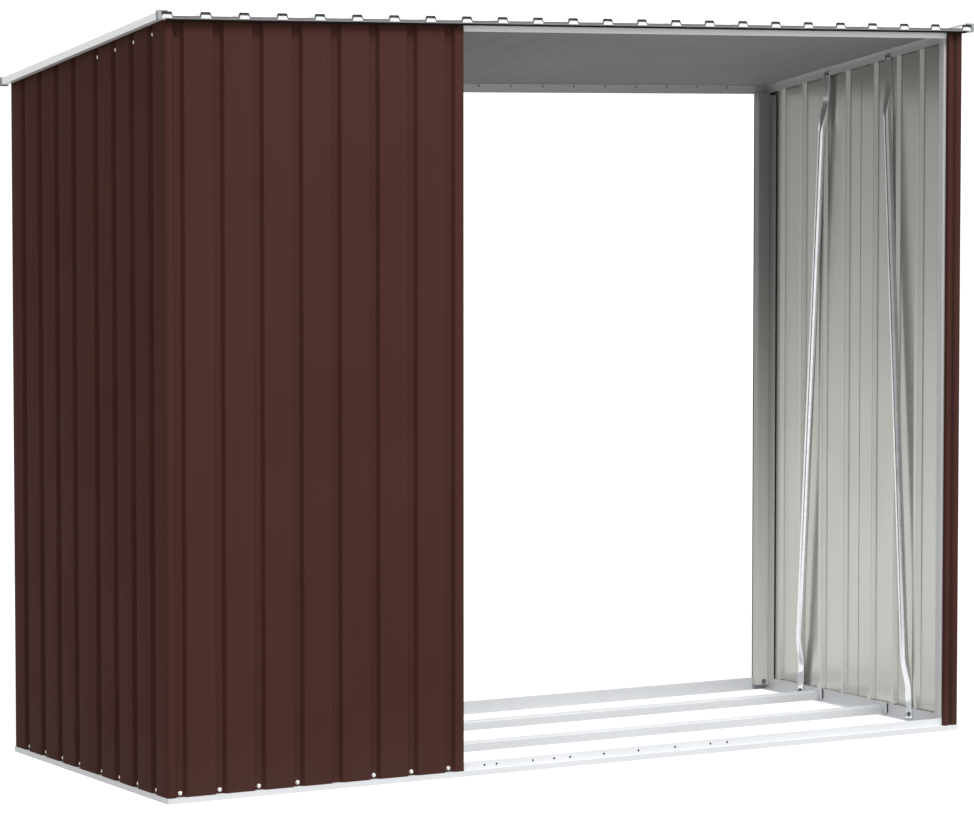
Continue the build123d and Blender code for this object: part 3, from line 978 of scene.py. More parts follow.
@dataclass
class RoofSheets:
    """Ribbed roof sheets, pale on top with whiter ribs as a painted highlight, with a drip lip, rib ends,
    plugs and a near-black strip along the front that paints the shadow line under the drip lip.
    """

    thickness: float = 0.0012
    rib_count: int = 24
    ribs_per_sheet: int = 4
    rib_base: float = 0.03
    rib_top: float = 0.0245
    rib_height: float = 0.0105
    edge_margin: float = 0.005
    lip_drop: float = 0.0067
    shade_strip_drop: float = 0.0102
    shade_strip_setback: float = 0.008
    shade_strip_thickness: float = 0.006
    plug_setback: float = 0.0025
    plug_thickness: float = 0.002
    end_foot: float = 0.029
    end_head: float = 0.022
    end_drop: float = 0.0045
    end_rise: float = 0.0045
    end_reach: float = 0.0014
    end_thickness: float = 0.0012
    liner_lap: float = 0.003
    liner_step: float = 0.0002
    liner_setback: float = 0.012
    fold_radius: float = 0.0018
    fold_steps: int = 4
    front_overhang: float = 0.0155
    rear_overhang: float = 0.0095

    @property
    def length(self) -> float:
        """Length of a sheet along the slope."""
        return (STORE.depth + self.front_overhang + self.rear_overhang) / math.cos(STORE.tilt)

    @property
    def pitch(self) -> float:
        """Distance between neighbouring ribs."""
        return STORE.width / (self.rib_count - 1)

    @property
    def ribs(self) -> Array:
        """Places of the ribs across the roof."""
        return -STORE.width / 2 + np.arange(self.rib_count) * self.pitch

    @property
    def plane(self) -> SectionPlane:
        """Plane at the rear eave, from which the sheets run up to the front."""
        eave = STORE.rear_y + self.rear_overhang
        up = (0.0, math.sin(STORE.tilt), math.cos(STORE.tilt))
        return SectionPlane((0.0, eave, STORE.roof_height(eave)), (1.0, 0.0, 0.0), up)

    def point(self, x: float, way: float, height: float) -> Array:
        """A place on the roof: across it, up the slope from the eave and above the underside."""
        return self.plane.place(np.array([[x, height]]))[0] + way * self.plane.direction

    def cut(self, way: float) -> Cut:
        """Plane across the slope at a way up it from the eave."""
        return Cut(tuple(self.point(0.0, way, 0.0)), tuple(self.plane.direction))

    def outline(self, number: int) -> list[Pair]:
        """Section points of one sheet's underside, from left to right.

        Args:
            number: Number of the sheet, from the left, starting at 0.

        Returns:
            Pairs of place across the roof and height.
        """
        first = -STORE.width / 2 + number * self.ribs_per_sheet * self.pitch
        ribs = first + np.arange(self.ribs_per_sheet) * self.pitch
        half = (self.pitch - STORE.fit_gap) / 2
        left = ribs[0] - half
        right = ribs[-1] + half
        if number == 0:
            left = ribs[0] - self.rib_base / 2 - self.edge_margin
        if number == self.rib_count // self.ribs_per_sheet - 1:
            right = ribs[-1] + self.rib_base / 2 + self.edge_margin
        steps = np.array([-self.rib_base / 2, -self.rib_top / 2, self.rib_top / 2, self.rib_base / 2])
        heights = np.array([0.0, self.rib_height, self.rib_height, 0.0])
        places = (ribs[:, None] + steps).ravel().tolist()
        return [(left, 0.0), *zip(places, np.tile(heights, len(ribs)).tolist()), (right, 0.0)]

    def hung_strip(self, left: float, right: float, back: float, drop: float, thickness: float) -> Surface:
        """Strip across the slope that hangs below the sheets: an upright line carried along x.

        Args:
            left: Where it begins across the roof.
            right: Where it ends.
            back: Way up the slope to its rear face.
            drop: How far it hangs below the underside.
            thickness: Its thickness along the slope.

        Returns:
            The strip.
        """
        section = SectionPlane(self.plane.origin, tuple(self.plane.direction), self.plane.across)
        line = fold_line([(back, self.thickness / 2), (back, -drop)], [])
        start = Cut((right, 0.0, 0.0), (1.0, 0.0, 0.0))
        end = Cut((left, 0.0, 0.0), (1.0, 0.0, 0.0))
        return carried_sheet(line, thickness, section, start, end, END_ROWS)

    def liner(self, rib: float) -> Surface:
        """Flat strip that closes one rib from below, so that the ceiling is even.

        Args:
            rib: Place of the rib across the roof.

        Returns:
            The strip, a level line carried up the slope.
        """
        half = self.rib_base / 2 + self.liner_lap
        line = fold_line([(rib - half, -self.liner_step), (rib + half, -self.liner_step)], [])
        start = self.cut(self.liner_setback)
        end = self.cut(self.length - self.liner_setback)
        strip = carried_sheet(line, self.thickness, self.plane, start, end, END_ROWS)
        strip.finishes = [ROOF_FINISHES.index(Finish.ROOF_BACK)] * 3
        return strip

    def plug(self, rib: float) -> Surface:
        """Block in the front end of one rib.

        Args:
            rib: Place of the rib across the roof.

        Returns:
            The block, a level line carried up the slope and as thick as the rib is hollow.
        """
        half = self.rib_top / 2
        line = fold_line([(rib - half, 0.0), (rib + half, 0.0)], [])
        front = self.length - self.plug_setback - self.plug_thickness
        hollow = self.rib_height - self.thickness / 2
        start = self.cut(front - self.plug_thickness)
        return carried_sheet(line, hollow, self.plane, start, self.cut(front), END_ROWS)

    def rib_end(self, rib: float) -> Surface:
        """White end piece of one rib.

        It is a plate across the slope in front of the drip lip. At a share s of its height its width
        is end_foot + (end_head - end_foot)*s, so its front is a trapezium.

        Args:
            rib: Place of the rib across the roof.

        Returns:
            The plate.
        """
        plate = block((-0.5, 0.0, 0.0), (0.5, 1.0, 1.0))
        across, back, s = plate.points.T
        width = self.end_foot + (self.end_head - self.end_foot) * s
        height = (self.end_drop + self.end_rise) * s - self.end_drop
        way = self.length + self.end_reach - self.end_thickness * back
        flat = np.stack([rib + across * width, height], axis=-1)
        plate.points = self.plane.place(flat) + way[:, None] * self.plane.direction
        return plate

    def paint_rib_highlights(self, sheet: Surface) -> Surface:
        """Give the upper faces of the ribs a whiter copy of the roof coat: a painted highlight on the ribs
        over the greyer flats.

        Args:
            sheet: A roof sheet.

        Returns:
            The sheet, whose upper faces count as rib where they rise by more than twice the thickness.
        """
        top = sheet.finishes.index(ROOF_FINISHES.index(Finish.PALE_ROOF))
        faces = sheet.faces[top]
        middles = sheet.points[faces].mean(axis=1)
        rise = (middles - np.array(self.plane.origin)) @ np.array(self.plane.across)
        on_rib = rise > 2.0 * self.thickness
        sheet.faces[top] = faces[~on_rib]
        sheet.faces.append(faces[on_rib])
        sheet.finishes = [*sheet.finishes, ROOF_FINISHES.index(Finish.RIB_HIGHLIGHT)]
        return sheet

    def build(self) -> None:
        """Make the roof sheets, each with its drip lip and its ribs' liners, in place of their nodes."""
        eave = self.cut(0.0)
        front = self.cut(self.length)
        lip_finishes = (Finish.DRIP_LIP, Finish.DRIP_LIP, Finish.DARK_EDGE_AND_SHADE)
        for number in range(self.rib_count // self.ribs_per_sheet):
            points = self.outline(number)
            line = fold_line(points, [self.fold_radius] * (len(points) - 2), self.fold_steps)
            # Painted highlight: the ribs' upper faces take a whiter copy of the roof coat.
            sheet = self.paint_rib_highlights(carried_sheet(line, self.thickness, self.plane, eave, front))
            left, right = points[0][0], points[-1][0]
            back = self.length - self.thickness
            lip = self.hung_strip(left, right, back, self.lip_drop, self.thickness)
            lip.finishes = [ROOF_FINISHES.index(finish) for finish in lip_finishes]
            first = number * self.ribs_per_sheet
            liners = [self.liner(rib) for rib in self.ribs[first : first + self.ribs_per_sheet]]
            piece = Surface.joined([sheet, lip, *liners]).to_object(
                f"roof_sheet_{number + 1}_dressed", [finish.material() for finish in ROOF_FINISHES]
            )
            settle(piece, f"roof_sheet_{number + 1}")

    def build_front_ends_and_shade_strip(self) -> None:
        """Make the end pieces of the ribs, the grey plugs behind them and a near-black strip behind the drip
        lip that paints the shadow line under it.
        """
        coats = (Finish.DARK_EDGE_AND_SHADE, Finish.DRIP_LIP)
        parts = [self.plug(rib) for rib in self.ribs]
        for part in parts:
            part.finishes = [coats.index(Finish.DRIP_LIP)] * 3
        reach = STORE.width / 2
        # Painted shadow: a near-black strip hung behind the drip lip for the shadow line under it.
        back = self.length - self.shade_strip_setback
        strip = self.hung_strip(-reach, reach, back, self.shade_strip_drop, self.shade_strip_thickness)
        strip.finishes = [coats.index(Finish.DARK_EDGE_AND_SHADE)] * 3
        materials = [finish.material() for finish in coats]
        plugs_and_shade = Surface.joined([*parts, strip]).to_object("roof_front_plugs_and_shade_strip", materials)
        settle(plugs_and_shade)
        ends = Surface.joined([self.rib_end(rib) for rib in self.ribs])
        settle(ends.to_object("roof_rib_ends", [Finish.RIB_END.material()]))


@dataclass
class Braces:
    """Round tubes with pressed ends that stand as an inverted V against each side wall."""

    radius: float = 0.01125
    tab_width: float = 0.027
    tab_thickness: float = 0.0026
    tab_length: float = 0.08
    flare_length: float = 0.1
    foot_offset: float = 0.268
    head_offset: float = 0.148
    foot_height: float = 0.006
    head_gap: float = 0.0055
    segments: int = 40
    flare_steps: int = 16
    middle_steps: int = 23
    squareness: float = 6.0

    def ends(self, side: int, end: int) -> tuple[Array, Array]:
        """Foot and head of one tube's axis.

        Args:
            side: -1 for the left wall, 1 for the right one.
            end: -1 for the tube towards the front, 1 for the one towards the rear.

        Returns:
            The two end points.
        """
        middle = STORE.front_y + STORE.depth / 2
        x = side * (STORE.width / 2 - STORE.inner_seat - self.radius)
        head_y = middle + end * self.head_offset
        head_z = STORE.roof_height(head_y + self.tab_width / 2) - self.head_gap
        foot = np.array([x, middle + end * self.foot_offset, self.foot_height])
        return foot, np.array([x, head_y, head_z])

    def tube(self, side: int, end: int) -> Surface:
        """Tube whose ends are pressed flat against the wall.

        With f the share of flattening, a section at angle t is x = a*c and y = (R - b) + b*s, where
        a = R + (tab_width/2 - R)*f and b = R + (tab_thickness/2 - R)*f. Here c and s are cos t and
        sin t with their sizes raised to 2/(2 + squareness*f), so a circle becomes a rounded bar that
        stays on the wall side. Over each flare f falls from 1 to 0 as 1 - (3u^2 - 2u^3).

        Args:
            side: -1 for the left wall, 1 for the right one.
            end: -1 for the tube towards the front, 1 for the one towards the rear.

        Returns:
            The closed tube.
        """
        foot, head = self.ends(side, end)
        length = np.linalg.norm(head - foot)
        axis = (head - foot) / length
        to_wall = np.array([side, 0.0, 0.0])
        across = np.cross(to_wall, axis)
        flare = self.tab_length + np.linspace(0.0, self.flare_length, self.flare_steps + 1)
        middle = np.linspace(flare[-1], length - flare[-1], self.middle_steps + 1)[1:-1]
        way = np.concatenate([[0.0], flare, middle, length - flare[::-1], [length]])
        near = np.minimum(way, length - way)
        u = np.clip((near - self.tab_length) / self.flare_length, 0.0, 1.0)
        flat = (1.0 - u * u * (3.0 - 2.0 * u))[:, None]
        angle = 2.0 * np.pi * np.arange(self.segments) / self.segments
        power = 2.0 / (2.0 + self.squareness * flat)
        c = np.sign(np.cos(angle)) * np.abs(np.cos(angle)) ** power
        s = np.sign(np.sin(angle)) * np.abs(np.sin(angle)) ** power
        a = self.radius + (self.tab_width / 2 - self.radius) * flat
        b = self.radius + (self.tab_thickness / 2 - self.radius) * flat
        x = (a * c)[..., None] * across
        y = (self.radius - b + b * s)[..., None] * to_wall
        points = foot + way[:, None, None] * axis + x + y
        rows = len(way)
        last = (rows - 1) * self.segments
        ring = np.arange(self.segments)
        uv = np.stack(np.broadcast_arrays(angle * self.radius, way[:, None]), axis=-1).reshape(-1, 2)
        faces = [grid_quads(rows, self.segments, closed=True), ring[None, ::-1], ring[None] + last]
        fold = np.repeat(4.0 * u * (1.0 - u), self.segments)
        return Surface(points.reshape(-1, 3), faces, [0, 0, 0], uv, fold)

    def build(self) -> None:
        """Make the four tubes in place of their nodes."""
        for side_name, side in SIDES:
            for end_name, end in ENDS:
                node = f"{side_name}_wall_{end_name}_brace"
                piece = self.tube(side, end).to_object(f"{node}_dressed", [Finish.TUBE_ZINC.material()])
                settle(piece, node)


@dataclass
class Fasteners:
    """Sheet screws in the valleys and on the roof, and the bolts of the braces."""

    walls: WallSheets
    roof: RoofSheets
    braces: Braces
    foot_height: float = 0.0235
    side_head_drop: float = 0.026
    front_head_drop: float = 0.036
    side_offset: float = 0.003
    roof_inset: float = 0.028
    roof_front_step: float = 0.006
    foot_bolt: float = 0.011
    head_bolt: float = 0.011
    screw: tuple[Pair, ...] = (
        (0.0056, 0.0), (0.0056, 0.0008), (0.0048, 0.0012), (0.0046, 0.0030),
        (0.0037, 0.0040), (0.0022, 0.0046), (0.0014, 0.0046), (0.0011, 0.0036),
    )
    washer: tuple[Pair, ...] = ((0.0075, 0.0), (0.0075, 0.0012), (0.0071, 0.0015), (0.0045, 0.0015))
    hexagon: tuple[Pair, ...] = ((0.0058, 0.0013), (0.0058, 0.0052), (0.0050, 0.0058))
    washer_segments: int = 20
    hexagon_segments: int = 6
    bolt_sharp: float = 30.0

    def wall_places(self, wall: Wall, places: Sequence[float], heights: Sequence[float]) -> Array:
        """Points on the valley floors of a wall.

        Args:
            wall: The wall.
            places: Places along it.
            heights: Height at each place.

        Returns:
            One point for each place.
        """
        flat = np.stack([np.array(places), np.full(len(places), STORE.valley_drop)], axis=-1)
        points = wall.value.place(flat)
        points[:, 2] = heights
        return points

    def wall_screws(
        self, wall: Wall, feet: Sequence[float], heads: Sequence[float], drop: float = 0.0
    ) -> Surface:
        """Screws of one wall.

        Args:
            wall: The wall.
            feet: Places along it with a screw above the base rail.
            heads: Places along it with a screw below the roof.
            drop: How far below the roof the upper screws sit.

        Returns:
            All its screw heads.
        """
        low = self.wall_places(wall, feet, [self.foot_height] * len(feet))
        high = self.wall_places(wall, heads, [0.0] * len(heads))
        high[:, 2] = [STORE.roof_height(y) - drop for y in high[:, 1]]
        outward = tuple(-np.array(wall.value.across))
        return turned_heads(np.concatenate([low, high]), outward, self.screw)

    def build_screws(self) -> None:
        """Make the screws of the walls and the roof; the valley after a closed stretch's seam has none."""
        side = self.walls.side_valleys()
        sides = np.array(side + [STORE.depth - place for place in side])
        front = self.walls.front_valleys()
        first = self.walls.sheet_valleys
        feet = front[:first] + front[first + 1 :]
        rear = [STORE.width - place for place in feet]
        white = [Finish.SCREW_WHITE.material()]
        left = sides - self.side_offset
        right = sides + self.side_offset
        groups = {
            "front_wall_screws": self.wall_screws(Wall.FRONT, feet, []),
            "rear_wall_screws": self.wall_screws(Wall.REAR, rear, []),
            "left_wall_screws": self.wall_screws(Wall.LEFT, left, left[first:], self.side_head_drop),
            "right_wall_screws": self.wall_screws(Wall.RIGHT, right, right[:first], self.side_head_drop),
        }
        between = -STORE.width / 2 + self.roof.pitch * (np.arange(self.roof.rib_count - 1) + 0.5)
        ways = (self.roof_inset, self.roof.length - self.roof_inset - self.roof_front_step)
        spots = [self.roof.point(x, way, self.roof.thickness) for way in ways for x in between[0::2]]
        groups["roof_screws"] = turned_heads(np.array(spots), self.roof.plane.across, self.screw)
        for name, surface in groups.items():
            settle(surface.to_object(name, white))
        heads = [
            self.wall_screws(Wall.FRONT, [], front[:1], self.front_head_drop),
            self.wall_screws(Wall.REAR, [], rear[:1], self.front_head_drop),
        ]
        corner = Surface.joined(heads).to_object("corner_head_screws", [Finish.BROWN_COAT.material()])
        settle(corner)

    def bolt_heads(self, spots: Array, axis: Triple) -> Surface:
        """Washers with hexagon heads on them.

        Args:
            spots: Where the bolts sit, one row each.
            axis: Way in which their heads point.

        Returns:
            All of them as one surface.
        """
        washers = turned_heads(spots, axis, self.washer, self.washer_segments)
        heads = turned_heads(spots, axis, self.hexagon, self.hexagon_segments)
        return Surface.joined([washers, heads])

    def build_bolts(self) -> None:
        """Make the bolts through the pressed ends of the braces."""
        coat = [Finish.BOLT_ZINC.material()]
        for side_name, side in SIDES:
            seat = np.array([side * (self.braces.radius - self.braces.tab_thickness), 0.0, 0.0])
            spots = []
            for _, end in ENDS:
                foot, head = self.braces.ends(side, end)
                axis = (head - foot) / np.linalg.norm(head - foot)
                spots += [foot + axis * self.foot_bolt + seat, head - axis * self.head_bolt + seat]
            bolts = self.bolt_heads(np.array(spots), (-float(side), 0.0, 0.0))
            piece = bolts.to_object(f"{side_name}_brace_bolts", coat, self.bolt_sharp)
            settle(piece)


@dataclass
class FrameFittings:
    """Small fittings of the frame.

    They are the beam clips, the fillers at the wall feet, the bolts and legs of the posts, the points
    of the eave screws, the strips behind the upright seams and near-black discs behind the spare holes
    that paint the shade inside them.
    """

    walls: WallSheets
    roof: RoofSheets
    fasteners: Fasteners
    beam_tabs: tuple[float, float] = (-0.1607, 0.1579)
    clip_thickness: float = 0.002
    clip_width: float = 0.0058
    clip_foot: float = 0.008
    clip_head: float = 0.034
    shade_pad_width: float = 0.004
    web_place: float = 1.1862
    post_faces: Pair = (-0.4347, 0.4397)
    bolt_places: Pair = (1.171, -0.386)
    bolt_height: float = 0.0235
    hole_shares: tuple[float, ...] = (
        0.043, 0.066, 0.135, 0.176, 0.207, 0.273, 0.341, 0.414, 0.485, 0.519
    )
    hole_height: float = 0.023
    hole_shade_disc: tuple[Pair, ...] = ((0.0044, 0.0), (0.0044, 0.0012))
    hole_depth: float = 0.0151
    seam_place: float = 0.0211
    seam_half: float = 0.0022
    seam_depth: float = 0.0012
    leg_width: float = 0.031
    leg_thickness: float = 0.0013
    leg_place: float = 1.1858
    leg_gap: float = 0.0002
    leg_drop: float = 0.0285
    filler_head: float = 0.033
    filler_height: float = 0.004
    filler_gap: float = 0.0012
    point_setback: float = 0.034
    point_drop: float = 0.0015
    point_segments: int = 10
    point: tuple[Pair, ...] = ((0.0024, 0.0), (0.0024, 0.004), (0.0017, 0.0065), (0.0008, 0.0075))

    def clips(self, side: int) -> Surface:
        """Clips of one side wall: at each beam an upright tab, and a near-black pad between it and the rail
        that paints the shaded gap there.

        Args:
            side: -1 for the left wall, 1 for the right one.

        Returns:
            The clips, with number 0 for the tabs and 1 for the painted-shade pads.
        """
        parts = []
        for front in self.beam_tabs:
            shade_pad = self.web_place - self.shade_pad_width
            # Painted shade: the second block of each clip is a near-black pad for the shaded gap beside the
            # tab.
            for number, reach in enumerate(((shade_pad - self.clip_width, shade_pad), (shade_pad, self.web_place))):
                left, right = sorted(side * place for place in reach)
                low = (left, front - self.clip_thickness, self.clip_foot)
                parts.append(block(low, (right, front, self.clip_head), number))
        return Surface.joined(parts)

    def fillers(self, side: int) -> Surface:
        """Fillers of one side wall: a block between rail and sheet on each stretch between two valleys.

        Args:
            side: -1 for the left wall, 1 for the right one.

        Returns:
            The blocks.
        """
        near = self.walls.side_valleys()
        centres = np.sort([*near, *(STORE.depth - place for place in near)]) + STORE.front_y
        half = self.walls.valley_width / 2 + self.filler_gap
        outer = STORE.width / 2 - self.walls.thickness - self.filler_gap
        left, right = sorted((side * self.web_place, side * outer))
        low = self.filler_head - self.filler_height
        spans = zip(centres[:-1] + half, centres[1:] - half)
        head = self.filler_head
        return Surface.joined([block((left, start, low), (right, end, head)) for start, end in spans])

    @staticmethod
    def lap_strip(low: Triple, high: Triple, outward: BlockSide) -> Surface:
        """Upright strip whose outward side differs from its other sides.

        Args:
            low: Corner with the smallest x, y and z.
            high: Corner with the largest.
            outward: Side that faces out of the store.

        Returns:
            The strip, with number 0 for the outward side and 1 for the others.
        """
        strip = block(low, high)
        sides = strip.faces[0]
        strip.faces = [sides[outward : outward + 1], np.delete(sides, outward, axis=0)]
        strip.finishes = [0, 1]
        return strip

    def seam_back(self, middle: float, y: float) -> Surface:
        """Strip behind an upright seam of the front or rear wall.

        Args:
            middle: Place of the seam along x.
            y: Outer face of the wall.

        Returns:
            The strip.
        """
        inner = math.copysign(self.seam_depth, -y)
        near, far = sorted((y + inner, y + 2.0 * inner))
        head = STORE.roof_height(far) - self.seam_half
        low = (middle - self.seam_half, near, STORE.sheet_foot)
        outward = BlockSide.FRONT if y < 0.0 else BlockSide.REAR
        return self.lap_strip(low, (middle + self.seam_half, far, head), outward)

    def side_seam_back(self, side: int) -> Surface:
        """Strip behind the upright seam in the middle of one side wall.

        Args:
            side: -1 for the left wall, 1 for the right one.

        Returns:
            The strip.
        """
        outer = STORE.width / 2 - self.seam_depth
        left, right = sorted((side * outer, side * (outer - self.seam_depth)))
        middle = STORE.front_y + STORE.depth / 2
        head = STORE.roof_height(middle + self.seam_half) - self.seam_half
        low = (left, middle - self.seam_half, STORE.sheet_foot)
        outward = BlockSide.LEFT if side < 0 else BlockSide.RIGHT
        return self.lap_strip(low, (right, middle + self.seam_half, head), outward)

    def post_leg(self, face: float) -> Surface:
        """Leg of a right-hand corner post along the side wall.

        Args:
            face: Place of the post's inner face along y.

        Returns:
            The leg, an upright block.
        """
        near = face - math.copysign(self.leg_gap, face)
        start, end = sorted((near, near - math.copysign(self.leg_width, face)))
        head = STORE.roof_height(end) - self.leg_drop
        low = (self.leg_place - self.leg_thickness, start, STORE.sheet_foot)
        return block(low, (self.leg_place, end, head))

    def build(self) -> None:
        """Make the clips, the fillers, the bolts and legs of the posts and the points of the eave screws."""
        coats = [Finish.PALE_RAIL.material(), Finish.DARK_EDGE_AND_SHADE.material()]
        for side_name, side in SIDES:
            settle(self.clips(side).to_object(f"{side_name}_beam_clips", coats))
            settle(self.fillers(side).to_object(f"{side_name}_wall_fillers", coats[:1]))
        zinc = [Finish.BOLT_ZINC.material()]
        bolts = [
            self.fasteners.bolt_heads(
                np.array([[x, face, self.bolt_height]]), (0.0, -math.copysign(1.0, face), 0.0)
            )
            for x in self.bolt_places
            for face in reversed(self.post_faces)
        ]
        sharp = self.fasteners.bolt_sharp
        settle(Surface.joined(bolts).to_object("post_bolts", zinc, sharp))
        legs = Surface.joined([self.post_leg(face) for face in self.post_faces])
        # Painted shade: the legs take the darker copy of the frame grey.
        settle(legs.to_object("corner_post_legs", [Finish.SHADED_REAR_FRAME.material()]))
        flats = self.roof.ribs[:-1] + self.roof.pitch / 2
        spots = np.array([self.roof.point(x, self.point_setback, -self.point_drop) for x in flats])
        down = tuple(-np.array(self.roof.plane.across))
        points = turned_heads(spots, down, self.point, self.point_segments)
        settle(points.to_object("eave_screw_points", zinc))

    def build_seam_backs_and_hole_shades(self) -> None:
        """Make the strips behind the upright seams and near-black discs behind the front rail's spare holes
        that paint the shade inside them.
        """
        walls = (STORE.front_y, STORE.rear_y)
        corner = STORE.width / 2 - self.seam_place
        middle = self.walls.seam - STORE.width / 2
        strips = [self.seam_back(x, y) for x in (-corner, corner, middle) for y in walls]
        strips += [self.side_seam_back(side) for _, side in SIDES]
        lap_finishes = [Finish.BROWN_EDGE.material(), Finish.BARE_BACK.material()]
        settle(Surface.joined(strips).to_object("seam_backs", lap_finishes))
        open_bay = STORE.width - STORE.closed_bay
        x = -STORE.width / 2 + STORE.closed_bay + open_bay * np.array(self.hole_shares)
        y = np.full(len(x), STORE.front_y + self.hole_depth)
        spots = np.stack([x, y, np.full(len(x), self.hole_height)], axis=-1)
        # Painted shade: near-black discs set behind the spare holes stand for the shade inside them.
        hole_shades = turned_heads(spots, (0.0, -1.0, 0.0), self.hole_shade_disc, self.fasteners.washer_segments)
        dark = [Finish.DARK_EDGE_AND_SHADE.material()]
        settle(hole_shades.to_object("rail_hole_shade_discs", dark, self.fasteners.bolt_sharp))


@dataclass
class FrameDress:
    """Finishes of the frame pieces, trims and caps that stay as packed, by the first ending that fits."""

    finishes: dict[str, Finish] = field(
        default_factory=lambda: {
            "base_rail": Finish.PALE_RAIL,
            "floor_beam": Finish.PALE_RAIL,
            "verge_trim": Finish.VERGE_COAT,
            # Painted light: the front top rail sits in the eave's shade, so it takes the near-white verge
            # coat instead of the grey of the other top rails.
            "front_top_rail": Finish.VERGE_COAT,
            "top_rail": Finish.GREY_FRAME,
            # Painted shade: the rear posts take the darker copy of the frame grey.
            "rear_right_post": Finish.SHADED_REAR_FRAME,
            "rear_wall_post": Finish.SHADED_REAR_FRAME,
            "post": Finish.GREY_FRAME,
            "corner_cap": Finish.CAP_PLASTIC,
        }
    )

    def dress(self) -> None:
        """Give each remaining node the finish that its name calls for."""
        for name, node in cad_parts.items():
            fitting = [finish for ending, finish in self.finishes.items() if name.endswith(ending)]
            if fitting:
                node.data.materials.clear()
                node.data.materials.append(fitting[0].material())
                LOG.info("%s: %s", name, fitting[0].name.lower())


@dataclass(frozen=True)
class Lamp:
    """A square area lamp that faces a target, with its power in watts."""

    name: str
    place: Triple
    target: Triple
    size: float
    power: float

    def build(self) -> None:
        """Make the lamp, tipped up from straight down and then turned towards its target."""
        data = bpy.data.lights.new(self.name, "AREA")
        data.size = self.size
        data.energy = self.power
        way = np.array(self.target) - np.array(self.place)
        turn = Matrix.Rotation(math.atan2(-way[0], way[1]), 4, "Z")
        tip = Matrix.Rotation(math.acos(-way[2] / np.linalg.norm(way)), 4, "X")
        lamp = bpy.data.objects.new(self.name, data)
        lamp.matrix_world = Matrix.Translation(self.place) @ turn @ tip
        bpy.context.scene.collection.objects.link(lamp)


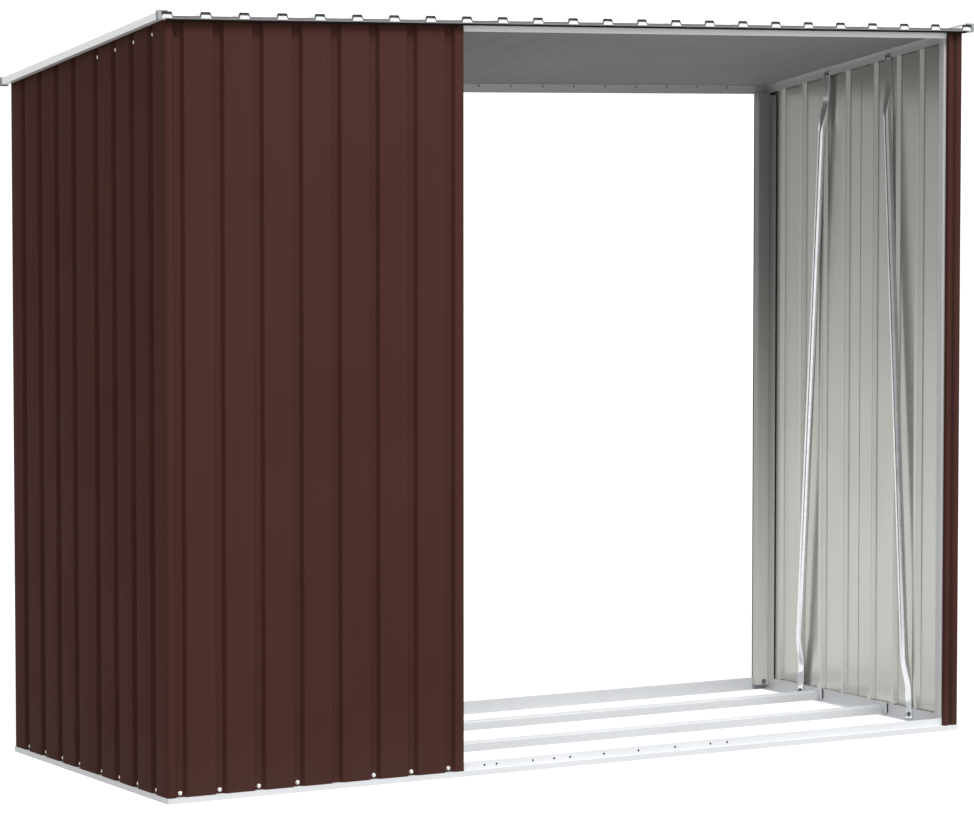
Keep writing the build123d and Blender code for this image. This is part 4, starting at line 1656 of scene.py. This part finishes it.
@dataclass
class Studio:
    """Pale floor, soft light and the camera; angles are in degrees and lens sizes in millimetres."""

    camera_place: Triple = (-5.2526, -9.0600, 1.6503)
    camera_turn: float = 29.98
    camera_dip: float = 3.484
    focal_length: float = 144.09
    sensor_width: float = 36.0
    shift: float = -0.0411
    farthest: float = 200.0
    floor_size: float = 60.0
    floor_points: int = 9
    floor_drop: float = 0.0005
    floor_colour: Triple = (168, 168, 168)
    floor_cloud_colour: Triple = (162, 162, 162)
    floor_cloud_scale: float = 0.8
    floor_cloud_detail: float = 3.0
    floor_glow: float = 1.25
    floor_glow_share: float = 0.84
    floor_fade: float = 0.55
    floor_fade_span: Pair = (4.0, 30.0)
    backdrop: float = 1.2
    sky_light: float = 0.99
    rear_shine: float = 1.0
    skyline_shine: float = 0.5
    front_shine: float = 0.38
    rear_span: Pair = (-0.25, 0.45)
    raised_span: Pair = (0.0, 0.3)
    lamps: tuple[Lamp, ...] = (
        Lamp("front_light", (0.7, -5.0, 8.0), (0.1, 0.0, 0.9), 3.4, 615.0),
        Lamp("rear_light", (4.0, 8.0, 5.5), (0.0, 0.0, 0.9), 5.0, 200.0),
    )

    def build_floor(self) -> None:
        """Make the floor: an even level grid just below z = 0."""
        side = np.linspace(-self.floor_size / 2, self.floor_size / 2, self.floor_points)
        x, y = np.meshgrid(side, side)
        points = np.stack([x.ravel(), y.ravel(), np.full(x.size, -self.floor_drop)], axis=-1)
        quads = grid_quads(self.floor_points, self.floor_points)
        surface = Surface(points, [quads], [0], points[:, :2], np.zeros(len(points)))
        floor = surface.to_object("studio_floor", [self.floor_material()])
        floor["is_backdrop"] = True

    def floor_material(self) -> bpy.types.Material:
        """Pale floor that takes only a faint shadow.

        For the camera it glows by a fixed share. In glossy surfaces that glow fades with the distance
        from the store.

        Returns:
            The material.
        """
        made = bpy.data.materials.new("studio_floor")
        made.use_nodes = True
        web = NodeWeb(made.node_tree)
        where = web.place()
        cloud = web.noise(where, self.floor_cloud_scale, self.floor_cloud_detail)
        colour = web.tint(cloud, linear(self.floor_colour), linear(self.floor_cloud_colour))
        matt = web.add("ShaderNodeBsdfDiffuse", {"Color": colour})
        glow = web.add("ShaderNodeEmission", {"Color": (1.0, 1.0, 1.0, 1.0), "Strength": self.floor_glow})
        path = web.add("ShaderNodeLightPath")
        away = web.add("ShaderNodeVectorMath", {0: where}, operation="LENGTH").outputs["Value"]
        faded = web.math("MULTIPLY", web.ramp(away, *self.floor_fade_span), self.floor_fade)
        near = web.math("SUBTRACT", 1.0, faded)
        shiny = web.math("MULTIPLY", path.outputs["Is Glossy Ray"], near)
        seen = web.math("MAXIMUM", path.outputs["Is Camera Ray"], shiny)
        share = web.math("MULTIPLY", seen, self.floor_glow_share)
        mixed = web.add("ShaderNodeMixShader", {0: share, 1: matt.outputs[0], 2: glow.outputs[0]})
        web.add("ShaderNodeOutputMaterial", {"Surface": mixed.outputs[0]})
        return made

    def build_light(self) -> None:
        """Make the white surroundings and the large soft lamps.

        Glossy surfaces see the surroundings brighter towards the rear and above the skyline, the
        camera sees plain white, and all else gets an even light.
        """
        world = bpy.data.worlds.new("studio")
        world.use_nodes = True
        web = NodeWeb(world.node_tree)
        path = web.add("ShaderNodeLightPath")
        way = web.add("ShaderNodeSeparateXYZ", {0: web.add("ShaderNodeTexCoord").outputs["Generated"]})
        rear = web.ramp(way.outputs["Y"], *self.rear_span)
        raised = web.ramp(way.outputs["Z"], *self.raised_span)
        rise = self.rear_shine - self.skyline_shine
        rear_glow = web.math("MULTIPLY_ADD", raised, rise, self.skyline_shine)
        rear_gain = web.math("SUBTRACT", rear_glow, self.front_shine)
        shine = web.math("MULTIPLY_ADD", rear, rear_gain, self.front_shine)
        gap = web.math("SUBTRACT", shine, self.sky_light)
        soft = web.math("MULTIPLY_ADD", path.outputs["Is Glossy Ray"], gap, self.sky_light)
        plain = web.math("MULTIPLY", path.outputs["Is Camera Ray"], self.backdrop)
        strength = web.math("MAXIMUM", soft, plain)
        shade = web.add("ShaderNodeBackground", {"Color": (1.0, 1.0, 1.0, 1.0), "Strength": strength})
        web.add("ShaderNodeOutputWorld", {"Surface": shade.outputs[0]})
        scene = bpy.context.scene
        scene.world = world
        scene.view_settings.view_transform = "Standard"
        scene.view_settings.look = "None"
        for lamp in self.lamps:
            lamp.build()

    def build_camera(self) -> None:
        """Make the camera at the photograph's viewing angle."""
        data = bpy.data.cameras.new("camera")
        data.lens = self.focal_length
        data.sensor_width = self.sensor_width
        data.shift_y = self.shift
        data.clip_end = self.farthest
        camera = bpy.data.objects.new("camera", data)
        turn = Matrix.Rotation(math.radians(-self.camera_turn), 4, "Z")
        tip = Matrix.Rotation(math.radians(90.0 - self.camera_dip), 4, "X")
        camera.matrix_world = Matrix.Translation(self.camera_place) @ turn @ tip
        bpy.context.scene.collection.objects.link(camera)
        bpy.context.scene.camera = camera


def write_sizes() -> None:
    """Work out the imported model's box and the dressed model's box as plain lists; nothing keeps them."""
    boxes = {"cad": CAD_BOX, "visual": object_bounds()}
    {name: [list(low), list(high)] for name, (low, high) in boxes.items()}


def main() -> None:
    """Build the sub-assemblies in order, then the studio."""
    logging.basicConfig(level=logging.INFO, format="%(name)s %(message)s")
    studio = Studio()
    studio.build_camera()
    walls = WallSheets()
    walls.build()
    roof = RoofSheets()
    roof.build()
    roof.build_front_ends_and_shade_strip()
    braces = Braces()
    braces.build()
    fasteners = Fasteners(walls, roof, braces)
    fasteners.build_screws()
    fasteners.build_bolts()
    fittings = FrameFittings(walls, roof, fasteners)
    fittings.build()
    fittings.build_seam_backs_and_hole_shades()
    FrameDress().dress()
    studio.build_floor()
    studio.build_light()
    write_sizes()


if __name__ == "__main__":
    main()
